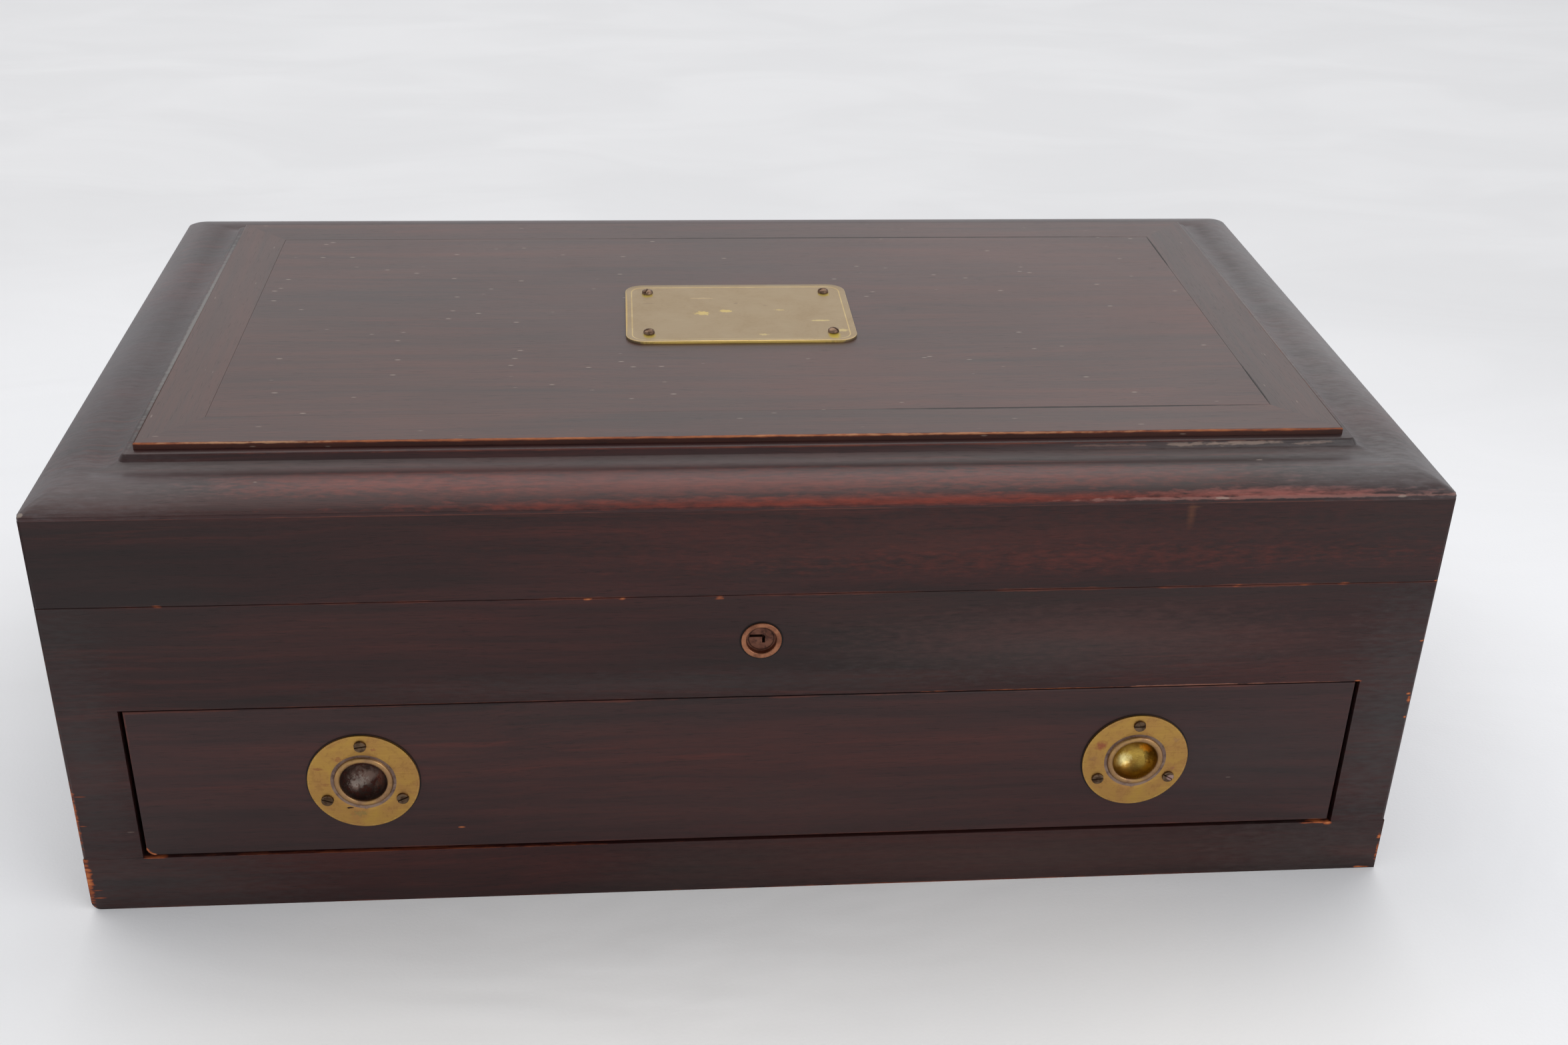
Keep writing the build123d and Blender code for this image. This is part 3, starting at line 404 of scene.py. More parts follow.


# Outer boards: the way the grain runs, easing in mm, and the marks that each one has: worn spots, stains, and
# painted shade and light.
# Sunk and raised are how far past the board, in mm, its rubbed edge would lie: a glued joint has none.

topWood = {"rub": 0.0, "filmShare": 0.13, "dark": (0.029, 0.0108, 0.0084), "body": (0.05, 0.0165, 0.0115),
           "red": (0.078, 0.022, 0.0135), "film": (0.04, 0.032, 0.026), "specular": 0.425}
lidWood = {**mahogany, "specular": 0.33, "streakShare": 0.5}
drawerWood = {"dark": (0.0185, 0.0078, 0.0078), "body": (0.033, 0.0112, 0.0108),
              "red": (0.054, 0.0145, 0.0122), "specular": 0.3}
topPiece = {"wood": topWood, "joint": 0.1, "outer": 0, "dashes": 0.4}
boards = {
    "front_board": {"grain": "X", "own": 0.3, "joint": 0.3, "sunk": 9, "marks": [
        # painted shade: the left end of the rail above the drawer is darker
        onFront("smudge", -210, 100, 110, 60, deep=5, torn=1.2, share=0.35, edge=0.6),
        # painted light: a lighter patch towards the right of the rail above the drawer
        onFront("film", 120, 100, 95, 17, deep=5, torn=1.4, share=0.3, edge=0.7, colour=(0.07, 0.05, 0.046)),
        onFront("film", 223, 66, 24, 70, deep=5, share=0.45, edge=0.9),
        onFront("film", -222, 66, 17, 70, deep=5, share=0.3, edge=0.8),
        onFront("film", -30, 88, 120, 6, deep=5, share=0.25, edge=0.8),
        onFront("film", 95, 100, 85, 16, deep=5, torn=1.4, share=0.3, edge=0.7),
        onFront("red", 110, 104, 90, 12, deep=5, torn=3.0, share=0.14, edge=0.7),
        # a dark gap line with painted shadow round the keyhole ring
        onFront("crack", 1.4, 104.3, 9, 9, deep=3, torn=0.3, share=0.8, ring=(7.0, 0.45)),
        onFront("raw", 207.7, 82.3, 1.5, 0.6),
        onFront("raw", 97, 82.25, 42, 0.3, torn=3.0, share=0.55, heat=0.5),
        onFront("pale", 150, 82.3, 26, 0.45, torn=2.4, share=0.6, colour=(0.3, 0.125, 0.08)),
        onFront("pale", 186, 82.3, 14, 0.35, torn=3.0, share=0.4, colour=(0.24, 0.09, 0.055)),
        onFront("raw", -110, 82.2, 90, 0.25, torn=3.0, share=0.4, heat=0.2),
        onFront("raw", 134.5, 121.3, 2.6, 0.45, torn=1.4, share=0.4, heat=0.4),
        onFront("raw", 159.0, 121.4, 1.9, 0.6, torn=1.4, share=0.5, heat=0.5),
        onFront("raw", 182.6, 121.4, 2.1, 0.5, torn=1.4, share=0.45, heat=0.4),
        onFront("raw", 195.4, 121.4, 2.4, 0.55, torn=1.2, share=0.5, heat=0.4),
        onFront("raw", 180, 121.5, 45, 0.2, torn=3.4, share=0.2, heat=0.2),
        onFront("raw", -55, 121.3, 1.6, 0.6, share=0.7),
        onFront("raw", -44, 121.3, 1.2, 0.6, share=0.6),
        onFront("raw", -12.4, 120.9, 1.8, 0.8, share=0.5),
        onFront("raw", -190.5, 121.4, 1.8, 0.45, share=0.55, heat=0.4),
        onFront("raw", -228.4, 40, 1.15, 15, y=-134, deep=3, torn=2.6, heat=0.45),
        onFront("raw", -225.8, 48.3, 2.6, 0.35, torn=1.4, share=0.7, heat=0.4),
        onFront("raw", -226.6, 36, 1.7, 0.3, torn=1.4, share=0.6, heat=0.4),
        onFront("raw", 226.8, 76.5, 1.0, 0.5, y=-134, torn=3.0),
        onFront("raw", 227.4, 74.4, 0.7, 1.5, y=-134, torn=3.0, heat=0.5),
        onFront("raw", 227.4, 66.9, 0.7, 0.7, y=-134, torn=2.6),
        onFront("raw", 227.5, 98.2, 1.0, 0.35, y=-134, torn=2.6, share=0.8),
        onFront("pale", -211, 33, 1.6, 0.25, share=0.2),
    ]},
    "base_rail": {"grain": "X", "own": 0.3, "joint": 0.3, "raised": 9, "marks": [
        onFront("film", 200, 10, 40, 20, deep=5, share=0.3, edge=0.8),
        # painted light: the right half of the base rail is lighter
        onFront("film", 100, 10, 170, 18, deep=5, torn=1.2, share=0.6, edge=0.6, colour=(0.078, 0.047, 0.04)),
        onFront("film", -200, 10, 60, 20, deep=5, share=0.3, edge=0.8),
        onFront("raw", 203, 21.5, 6.5, 0.45, y=-134.2, torn=3.0, heat=0.6),
        onFront("raw", 207.4, 21.2, 1.9, 0.8, y=-134.0, deep=3, torn=1.6),
        onFront("raw", -204, 21.7, 4.5, 0.3, y=-134.2, heat=0.5),
        onFront("raw", -120, 21.7, 70, 0.2, y=-134.2, torn=3.2, share=0.5, heat=0.2),
        onFront("raw", -228.0, 13, 1.7, 11, y=-134, deep=3, torn=2.6, heat=0.5),
        onFront("raw", -225.8, 8.3, 2.2, 0.3, torn=1.4, share=0.8, heat=0.4),
        onFront("raw", -225.2, 5.0, 2.8, 0.35, torn=1.4, share=0.9, heat=0.5),
        onFront("raw", 227.9, 14.4, 0.9, 1.2, y=-134, torn=2.8),
        onFront("raw", 228.2, 8, 0.6, 4.5, y=-134, torn=3.0, heat=0.5),
        onFront("raw", 223, 0.6, 4, 0.5, y=-134, torn=2.8, heat=0.6),
        onFront("raw", 65, 0.2, 90, 0.3, y=-134, torn=3.2, share=0.5, heat=0.3),
    ]},
    "back_board": {"grain": "X", "own": 0.3, "joint": 0.15},
    "left_side": {"grain": "Y", "own": 0.3, "joint": 0.15},
    "right_side": {"grain": "Y", "own": 0.3, "joint": 0.15},
    "lid_front": {"grain": "X", "own": 0.3, "joint": 0.25, "raised": 9, "marks": [
        # painted shade: the left end of the lid's front is darker
        onFront("smudge", -200, 138, 150, 22, deep=5, torn=1.2, share=0.6, edge=0.6),
        onFront("red", 70, 140, 170, 15, deep=5, torn=3.0, share=0.17, edge=0.7),
        onFront("red", 120, 133, 120, 5, deep=5, torn=3.6, share=0.2, edge=0.8),
        onFront("smear", 140.2, 148.8, 1.9, 5.8, torn=0.7, share=0.55, edge=0.8, colour=(0.15, 0.052, 0.02)),
        onFront("smear", 141.2, 151.6, 3.0, 0.6, torn=1.6, share=0.4, edge=1.2),
        onFront("raw", 160.0, 121.9, 1.5, 0.35, torn=1.4, share=0.5, heat=0.4),
        onFront("raw", 196.2, 121.9, 1.8, 0.35, torn=1.4, share=0.5, heat=0.4),
        onFront("raw", 227.5, 122.0, 0.9, 0.5),
        onFront("raw", -191, 121.9, 1.6, 0.3, share=0.6, heat=0.4),
    ]},
    "lid_back": {"grain": "X", "own": 0.3, "raised": 9, "joint": 0.15},
    "lid_left": {"grain": "Y", "own": 0.3, "raised": 9, "joint": 0.2},
    "lid_right": {"grain": "Y", "own": 0.3, "raised": 9, "joint": 0.2},
    "top_border_front": {**topPiece, "grain": "X", "own": 0.14, "marks": [
        markAt("raw", (0, -104.6, 164.45), (500, 0.7, 0.7), torn=1.2, share=0.75, heat=0.8),
        markAt("pale", (-162, -104.6, 164.5), (32, 0.55, 0.6), torn=2.0, share=0.55, colour=(0.55, 0.33, 0.18)),
        markAt("pale", (72, -104.6, 164.5), (70, 0.5, 0.55), torn=2.4, share=0.4, colour=(0.5, 0.28, 0.15)),
        onTop("smudge", 120, -96, 9, 3, torn=2.0, share=0.3, edge=0.8),
        onTop("crack", 110, -85.5, 75, 0.6, torn=0.6, share=0.85),
    ]},
    "top_border_back": {**topPiece, "grain": "X", "own": 0.2, "marks": [
        onTop("crack", 60, 83.7, 125, 0.5, torn=0.9, share=0.7),
    ]},
    "top_border_left": {**topPiece, "grain": "Y", "own": 0.1, "marks": [
        onTop("film", -190, 0, 26, 130, deep=5, torn=0.6, share=0.25, edge=1.2, colour=(0.045, 0.03, 0.024)),
    ]},
    "top_border_right": {**topPiece, "grain": "Y", "own": 0.24, "dashes": 0.3, "marks": [
        onTop("film", 190, 0, 18, 130, deep=5, torn=1.0, share=0.3, edge=0.8, colour=(0.055, 0.047, 0.043)),
        markAt("raw", (198.7, -30, 164.5), (0.5, 90, 0.6), torn=2.4, share=0.6, heat=0.1),
        onTop("crack", 179.8, -68, 0.4, 20, torn=0.7, share=0.7),
        onTop("crack", 179.8, 66, 0.4, 22, torn=0.7, share=0.7),
    ]},
    "top_field": {**topPiece, "grain": "X", "own": 0.14, "dashes": 0.8, "marks": [
        onTop("crack", 110, -85.3, 75, 0.5, torn=0.6, share=0.85),
        onTop("crack", 60, 83.4, 125, 0.4, torn=0.9, share=0.6),
        onTop("crack", 179.6, -68, 0.35, 20, torn=0.7, share=0.7),
        onTop("crack", 179.6, 66, 0.35, 22, torn=0.7, share=0.7),
        onTop("smudge", 92, -45, 26, 3.2, deep=3, torn=2.0, share=0.5, edge=0.9),
        onTop("smudge", 56, -43, 12, 2.4, deep=3, torn=2.0, share=0.4, edge=0.9),
        onTop("smudge", 60, 6, 20, 4, deep=3, torn=2.0, share=0.45, edge=0.9),
        onTop("smudge", -12, 30, 18, 3, deep=3, torn=2.0, share=0.3, edge=0.9),
        onTop("smudge", -95, -40, 30, 4, deep=3, torn=2.0, share=0.25, edge=0.8),
    ]},
    "drawer_front": {"grain": "X", "wood": drawerWood, "own": 0.35, "joint": 0.35, "marks": [
        onFront("film", 10, 36, 110, 14, deep=5, torn=1.4, share=0.3, edge=0.6, colour=(0.06, 0.033, 0.029)),
        onFront("film", 165, 50, 45, 26, deep=5, torn=1.2, share=0.35, edge=0.7, colour=(0.036, 0.034, 0.034)),
        onFront("raw", -206.2, 23.7, 2.6, 2.6, y=-134.2, deep=3, torn=1.2, heat=0.6, ring=(3.1, 0.5),
                about=(-203.6, -134.2, 26.3)),
        onFront("raw", -100.4, 31.0, 1.3, 0.35, deep=1, torn=1.2, share=0.8, heat=0.5),
        onFront("raw", 202, 23.0, 4, 0.3, y=-134.2, torn=3.0, share=0.7, heat=0.4),
        onFront("pale", 167.6, 42.9, 1.4, 0.2, deep=1, share=0.3),
        # dark rings round both pull flanges: dirt and a painted contact shadow
        onFront("crack", -131.9, 51.9, 21, 21, deep=3, torn=0.5, share=0.9, ring=(18.9, 0.5)),
        onFront("crack", 132.9, 51.9, 21, 21, deep=3, torn=0.5, share=0.9, ring=(18.9, 0.5)),
    ]},
}
for node, board in boards.items():
    low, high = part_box(node)
    wood = {**mahogany, **board.get("wood", {})}
    sunk, raised = (Vector((0, 0, board.get(way, 0))) * mm for way in ("sunk", "raised"))
    look = woodLook(node + "_mahogany", wood, board["grain"], low - sunk, high + raised, board.get("marks", ()),
                    board.get("dashes", 0.0))
    mesh = easedBoard(node, board["own"], board["joint"], board.get("outer", easing["outer"]))
    newPiece(node + "_eased", mesh, [look], bodyOf(node), [node])
print("outer boards eased:", len(boards))

# Inner boards of plainer wood

innerBoards = {
    "bottom_board": "X", "compartment_floor": "X", "left_runner": "Y", "right_runner": "Y", "left_guide": "Y",
    "right_guide": "Y", "drawer_stops": "Y", "corner_blocks": "X", "drawer_left": "Y", "drawer_right": "Y",
    "drawer_back": "X", "drawer_bottom": "X", "left_divider": "Y", "right_divider": "Y",
}
for node, grain in innerBoards.items():
    look = woodLook(node + "_wood", carcaseWood, grain, *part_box(node))
    newPiece(node + "_eased", easedBoard(node, 0.3, 0.2, 0), [look], bodyOf(node), [node])
for node in ("front_rack", "rear_rack"):
    look = woodLook(node + "_wood", rackWood, "X", *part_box(node))
    mesh = easedBoard(node, 0.5, 0.3, 0, 5.0, sharp=24)
    newPiece(node + "_eased", mesh, [look], bodyOf(node), [node])
print("inner boards and racks:", len(innerBoards) + 2)

# Moulded lid board: the edge profile is worked round the board in steps of inset and rise, in mm

moulding = {
    "squareEdge": 1.0,
    "arris": (0.7, 2.0, 0.15, 4),
    "thumb": (16.8, 6.4, 1.43, 16),
    "cove": (25.6, 7.4, -0.68, 8),
    "ledge": (26.6, 9.6, 0.0, 1),
    "cornerEase": 1.5,
    "ledgeEase": 0.55,
}


def bulgedSteps(start, end, bulge, count):
    # points along a shallow arc between two points, without the first one
    chord = Vector((end[0] - start[0], end[1] - start[1]))
    side = Vector((-chord.y, chord.x)).normalized()
    points = []
    for step in range(1, count + 1):
        share = step / count
        points.append(Vector(start) + chord * share + side * bulge * 4 * share * (1 - share))
    return points


profile = [Vector((0, 0)), Vector((0, moulding["squareEdge"]))]
for part in ("arris", "thumb", "cove", "ledge"):
    inset, rise, bulge, count = moulding[part]
    profile += bulgedSteps(profile[-1], (inset, rise), bulge, count)

bm = bmesh.new()
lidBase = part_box("lid_board")[0].z
corners = [bm.verts.new((x, y, lidBase)) for x, y in (
    (-sideFace, frontFace), (sideFace, frontFace), (sideFace, backFace), (-sideFace, backFace))]
top = bm.faces.new(corners)
for before, after in zip(profile, profile[1:]):
    made = bmesh.ops.extrude_face_region(bm, geom=[top])
    raised = [item for item in made["geom"] if isinstance(item, bmesh.types.BMFace)][0]
    for vert in raised.verts:
        vert.co.x -= (after.x - before.x) * mm * (1 if vert.co.x > 0 else -1)
        vert.co.y -= (after.x - before.x) * mm * (1 if vert.co.y > (frontFace + backFace) / 2 else -1)
        vert.co.z += (after.y - before.y) * mm
    if top.is_valid and len(bm.faces) > 6:
        bmesh.ops.delete(bm, geom=[top], context="FACES_ONLY")
    top = raised
bmesh.ops.recalc_face_normals(bm, faces=bm.faces)
mitres = []
for edge in bm.edges:
    first, second = edge.verts
    if first.co.x * second.co.x > 0 and abs(first.co.z - second.co.z) > 1e-7:
        mitres.append(edge)
ease(bm, mitres, moulding["cornerEase"] * mm, 3)
for vert in bm.verts:
    vert.co.x = min(max(vert.co.x, -sideFace), sideFace)
    vert.co.y = min(max(vert.co.y, frontFace), backFace)
ledgeTop = lidBase + moulding["ledge"][1] * mm
ledgeEdges = [edge for edge in bm.edges if all(abs(v.co.z - ledgeTop) < 1e-6 for v in edge.verts)]
ease(bm, ledgeEdges, moulding["ledgeEase"] * mm, 3)
mesh = finished("moulded_lid_board", bm, sharp=28)
lidMarks = [
    markAt("red", (-122, -122.5, 158.6), (60, 7, 2.4), torn=1.8, share=0.6, edge=0.9),
    # painted highlight along both ledges beside the raised panel, stronger on the left
    markAt("film", (-200.5, 0, 162.4), (1.1, 108, 2), torn=0.9, share=0.75, edge=1.6, colour=(0.2, 0.19, 0.18)),
    markAt("film", (201.0, 0, 162.4), (0.8, 108, 2), torn=1.2, share=0.35, edge=1.6, colour=(0.16, 0.13, 0.12)),
    onFront("red", 45, 155.3, 180, 1.9, y=-134.5, deep=5, torn=1.6, share=0.85, edge=1.2),
    markAt("red", (-20, -125, 158.2), (165, 10, 2.6), torn=1.8, share=0.62, edge=0.9),
    markAt("red", (110, -124, 158.2), (80, 8, 2.4), torn=1.8, share=0.45, edge=0.9),
    # painted sheen on the side mouldings and their front corners, lighter on the right
    markAt("film", (216, -120, 157), (56, 22, 9), torn=1.1, share=0.65, edge=0.8, colour=(0.125, 0.114, 0.118)),
    markAt("film", (-216, -120, 157), (52, 22, 9), torn=1.3, share=0.6, edge=0.8, colour=(0.105, 0.088, 0.091)),
    markAt("film", (222, 0, 157), (30, 150, 9), torn=1.5, share=0.7, edge=0.8, colour=(0.142, 0.131, 0.13)),
    markAt("film", (-222, 0, 157), (26, 150, 9), torn=1.7, share=0.5, edge=0.8, colour=(0.095, 0.089, 0.097)),
    markAt("pale", (147, -108.5, 161.3), (12, 2, 0.7), torn=3.2, share=0.6, edge=1.6, colour=(0.28, 0.19, 0.145)),
    markAt("pale", (166, -108.5, 161.4), (12, 2, 0.7), torn=3.2, share=0.6, edge=1.6, colour=(0.28, 0.19, 0.145)),
    markAt("pale", (188, -108.5, 161.2), (7, 2, 0.65), torn=3.2, share=0.5, edge=1.6, colour=(0.26, 0.17, 0.13)),
    markAt("pale", (118, -108.5, 161.2), (14, 2, 0.4), torn=3.4, share=0.3, edge=2.0, colour=(0.3, 0.16, 0.12)),
    markAt("raw", (0, -107.9, 162.3), (190, 0.6, 0.5), torn=1.4, share=0.5, heat=0.1),
    onFront("smear", 170, 154.5, 75, 0.5, y=-133.9, torn=2.2, share=0.7, colour=(0.2, 0.1, 0.085)),
    onFront("red", 168, 155.6, 52, 1.8, y=-134, deep=5, torn=1.6, share=0.7, edge=1.2,
            colour=(0.25, 0.08, 0.066)),
    onFront("pale", 150, 154.5, 3, 0.3, y=-133.9, torn=2.6, share=0.5),
    # painted glint on the front-left corner of the moulding
    onFront("pale", -227.4, 154.6, 1.2, 0.7, y=-133.4, deep=1.2, torn=1.6, share=0.5),
    markAt("pale", (-158, -122, 158.5), (1.0, 0.6, 1), torn=1.0, share=0.3),
    markAt("pale", (167, -116, 159.5), (1.4, 0.4, 1), torn=1.0, share=0.5),
    onFront("pale", 210, 154.2, 1.6, 0.4, y=-133.8, torn=2.4, share=0.5),
]
lidLook = woodLook("lid_board_mahogany", lidWood, "X", *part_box("lid_board"), lidMarks)
newPiece("moulded_lid_board", mesh, [lidLook], "lid", ["lid_board"])
print("moulded lid board")

# Brass: each look is one metal with its own clean colour, tarnish and stains, and its marks: stains, and painted
# highlights, reflections and shade

brassFinishes = {
    "flange": {"clean": (0.45, 0.27, 0.066), "tarnish": (0.4, 0.214, 0.075), "stain": (0.2, 0.09, 0.04),
               "cloud": 75, "soft": 0.2, "stains": 0.18, "roughness": 0.44, "scratches": 0.5, "dents": 0.15},
    "groove": {"clean": (0.25, 0.175, 0.135), "tarnish": (0.165, 0.105, 0.09), "stain": (0.08, 0.05, 0.045),
               "cloud": 200, "soft": 0.15, "stains": 0.4, "roughness": 0.4, "scratches": 0.2, "dents": 0.2},
    "rim": {"clean": (0.39, 0.23, 0.09), "tarnish": (0.3, 0.175, 0.095), "stain": (0.14, 0.07, 0.045),
            "cloud": 120, "soft": 0.15, "stains": 0.25, "roughness": 0.36, "scratches": 0.3, "dents": 0.15},
    "brightCup": {"clean": (0.45, 0.3, 0.062), "tarnish": (0.3, 0.17, 0.035), "stain": (0.22, 0.09, 0.02),
                  "cloud": 120, "soft": 0.12, "stains": 0.25, "roughness": 0.31, "scratches": 1.0, "dents": 0.4},
    "darkCup": {"clean": (0.17, 0.115, 0.094), "tarnish": (0.066, 0.04, 0.033), "stain": (0.1, 0.03, 0.022),
                "cloud": 190, "soft": 0.1, "stains": 0.7, "roughness": 0.5, "scratches": 0.5, "dents": 1.0},
    "plate": {"clean": (0.296, 0.22, 0.129), "tarnish": (0.266, 0.196, 0.115), "stain": (0.23, 0.155, 0.085),
              "cloud": 60, "soft": 0.3, "stains": 0.1, "roughness": 0.42, "scratches": 0.35, "dents": 0.1},
    "brightRim": {"clean": (0.47, 0.35, 0.165), "tarnish": (0.38, 0.275, 0.13), "stain": (0.3, 0.2, 0.1),
                  "cloud": 120, "soft": 0.2, "stains": 0.2, "roughness": 0.4, "scratches": 0.3, "dents": 0.1},
    "keyRing": {"clean": (0.33, 0.145, 0.08), "tarnish": (0.23, 0.095, 0.055), "stain": (0.12, 0.06, 0.04),
                "cloud": 260, "soft": 0.14, "stains": 0.3, "roughness": 0.42, "scratches": 0.3, "dents": 0.2},
    "plug": {"clean": (0.17, 0.078, 0.053), "tarnish": (0.115, 0.05, 0.036), "stain": (0.05, 0.03, 0.025),
             "cloud": 260, "soft": 0.15, "stains": 0.5, "roughness": 0.5, "scratches": 0.3, "dents": 0.3},
    "fittings": {"clean": (0.5, 0.34, 0.13), "tarnish": (0.3, 0.18, 0.07), "stain": (0.14, 0.07, 0.035),
                 "cloud": 90, "soft": 0.15, "stains": 0.4, "roughness": 0.38, "scratches": 0.6, "dents": 0.2},
    "brownSteel": {"clean": (0.21, 0.135, 0.09), "tarnish": (0.1, 0.06, 0.04), "stain": (0.05, 0.024, 0.013),
                   "cloud": 400, "soft": 0.15, "stains": 0.5, "roughness": 0.38, "scratches": 0.3, "dents": 0.5},
    "steel": {"clean": (0.15, 0.1, 0.064), "tarnish": (0.09, 0.055, 0.033), "stain": (0.045, 0.022, 0.012),
              "cloud": 400, "soft": 0.15, "stains": 0.6, "roughness": 0.42, "scratches": 0.3, "dents": 0.5},
}


def metalLook(name, metal, middle=(0, 0, 0), marks=()):
    look, tree, shader, place = freshLook(name)
    local = vectors(tree, "SUBTRACT", place, middle)
    cloud = pattern(tree, local, (metal["cloud"],) * 3, 4.0, 0.6, 0.4)
    speck = pattern(tree, local, (620, 620, 620), 3.0, 0.65)
    ragged = pattern(tree, local, (900, 900, 900), 2.0, 0.6)
    brushed = pattern(tree, local, (110, 3400, 3400), 2.0, 0.6)
    # tarnish lies in soft clouds, with small spots over it
    tarnished = spread(tree, cloud, 0.5 - metal["soft"], 0.5 + metal["soft"])
    colour = blendColours(tree, tarnished, metal["clean"], metal["tarnish"])
    spotted = times(tree, speck, plus(tree, cloud, 0.5))
    stained = spread(tree, spotted, 0.53, 0.64, 0.0, metal["stains"])
    colour = blendColours(tree, stained, colour, metal["stain"])
    lighter = spread(tree, brushed, 0.57, 0.72, 0.0, metal["scratches"] * 0.4)
    colour = blendColours(tree, lighter, colour, tuple(min(1.0, 1.35 * value) for value in metal["clean"]))
    darker = spread(tree, brushed, 0.43, 0.3, 0.0, metal["scratches"] * 0.4)
    colour = blendColours(tree, darker, colour, metal["stain"])
    # each mark is a plain colour: a stain, a painted highlight, a painted reflection or painted shade
    for mark in marks:
        mask = markMask(tree, markDepth(tree, place, ragged, mark), mark)
        colour = blendColours(tree, mask, colour, mark["colour"])
    gloss = plus(tree, metal["roughness"] - 0.05, times(tree, tarnished, 0.1))
    gloss = plus(tree, gloss, times(tree, stained, 0.2))
    height = minus(tree, times(tree, brushed, 0.4), times(tree, stained, 0.3))
    height = plus(tree, height, times(tree, speck, metal["dents"]))
    bump = put(tree, "Bump", {}, {"Height": height, "Strength": 0.22, "Distance": 0.0003})
    wire(tree, shader, {"Metallic": 1.0, "Base Color": colour, "Roughness": gloss, "Normal": bump.outputs[0]})
    return look


latheSteps = 96


def latheMesh(name, outline, centre):
    # outline is radius and depth in mm, with minus depth towards the front, and it turns about Y
    bm = bmesh.new()
    ring = [bm.verts.new((centre.x + radius * mm, centre.y + depth * mm, centre.z)) for radius, depth in outline]
    edges = [bm.edges.new(pair) for pair in zip(ring, ring[1:])]
    if outline[0] != outline[-1] and outline[0][0] > 0.001:
        edges.append(bm.edges.new((ring[-1], ring[0])))
    bmesh.ops.spin(bm, geom=ring + edges, cent=centre, axis=(0, 1, 0), angle=2 * pi, steps=latheSteps,
                   use_merge=True, use_duplicate=False)
    bmesh.ops.remove_doubles(bm, verts=bm.verts, dist=1e-6)
    bmesh.ops.recalc_face_normals(bm, faces=bm.faces)
    return finished(name, bm, sharp=40)


def roundedCorner(centre, radius, start, end, count=5):
    # points on a small arc of an outline, angles in degrees
    points = []
    for step in range(count + 1):
        angle = radians(start + (end - start) * step / count)
        points.append((centre[0] + radius * cos(angle), centre[1] + radius * sin(angle)))
    return points


def carve(piece, cutter):
    # cuts one shape out of a piece for good
    cutting = piece.modifiers.new("cut", "BOOLEAN")
    cutting.operation = "DIFFERENCE"
    cutting.solver = "EXACT"
    cutting.object = cutter
    settled = bpy.data.meshes.new_from_object(piece.evaluated_get(bpy.context.evaluated_depsgraph_get()))
    piece.modifiers.clear()
    settled.name = piece.data.name + "_cut"
    piece.data = settled
    bpy.data.objects.remove(cutter)


pull = {
    "flangeRadius": 18.6,
    "flangeThickness": 1.6,
    "flangeRound": 0.6,
    "sunkRadius": 11.25,
    "sunkHeight": 0.7,
    "rimRadius": 9.8,
    "rimHeight": 1.55,
    "cupRadius": 7.85,
    "cupDepth": 6.4,
    "cupWall": 0.9,
    "lipStart": 0.55,
    "lipShoulder": 0.85,
    "grooveRound": 0.45,
    "play": 0.05,
    "screwCircle": 14.5,
    "screwHead": 2.15,
    "screwSlot": 0.35,
    "screwSunk": 0.12,
    "countersink": 0.9,
    "slotTurns": {"left": (8, -20, 25), "right": (0, 5, -32)},
}


def cupOutline():
    # a round bowl inside, a rolled lip in front, and the bowl's outer wall back to the middle
    radius, depth, wall = pull["cupRadius"], pull["cupDepth"], pull["cupWall"]
    rim, shoulder, sunk = pull["rimRadius"], pull["lipShoulder"], pull["sunkHeight"]
    middle = (radius + rim) / 2
    outline = [(0.0, depth)]
    outline += [(radius * sin(radians(a)), depth * cos(radians(a))) for a in range(6, 90, 6)]
    outline += [(radius, -pull["lipStart"])]
    for angle in range(15, 180, 15):
        outline += [(middle - (middle - radius) * cos(radians(angle)),
                     -shoulder - (pull["rimHeight"] - shoulder) * sin(radians(angle)))]
    outline += [(rim, -shoulder), (rim + 0.1, -sunk), (radius + wall, -sunk), (radius + wall, 0.0)]
    outline += [((radius + wall) * sin(radians(a)), (depth + wall) * cos(radians(a))) for a in range(84, 0, -6)]
    outline += [(0.0, depth + wall)]
    return outline


def flangeOutline():
    # a flat disc with rounded edges and a sunk ring round its hole
    hole = pull["cupRadius"] + pull["cupWall"] + pull["play"]
    outer, rounded, front = pull["flangeRadius"], pull["flangeRound"], -pull["flangeThickness"]
    inner, groove, sunk = pull["sunkRadius"], pull["grooveRound"], pull["sunkHeight"]
    outline = [(hole, 0.0), (outer, 0.0), (outer, front + rounded)]
    outline += roundedCorner((outer - rounded, front + rounded), rounded, -10, -90)
    outline += roundedCorner((inner + groove, front + groove), groove, -90, -165, 4)
    outline += [(inner - 0.2, -sunk - 0.1), (inner - groove, -sunk), (hole, -sunk)]
    return outline


def screwCutter(centre, head, depth):
    # a cone that cuts the countersink for a screw head
    bm = bmesh.new()
    turn = Matrix.Translation(centre) @ Matrix.Rotation(radians(90), 4, "X")
    bmesh.ops.create_cone(bm, cap_ends=True, segments=40, radius1=head - depth, radius2=head + 0.2,
                          depth=2 * depth, matrix=turn)
    return added("cutter", finished("cutter", bm))


screwWear = {"flat": 0.86, "rimDrop": 0.22, "skirt": 0.7, "slotDepth": 0.55, "slotWall": 0.16, "slotSpread": 0.62}


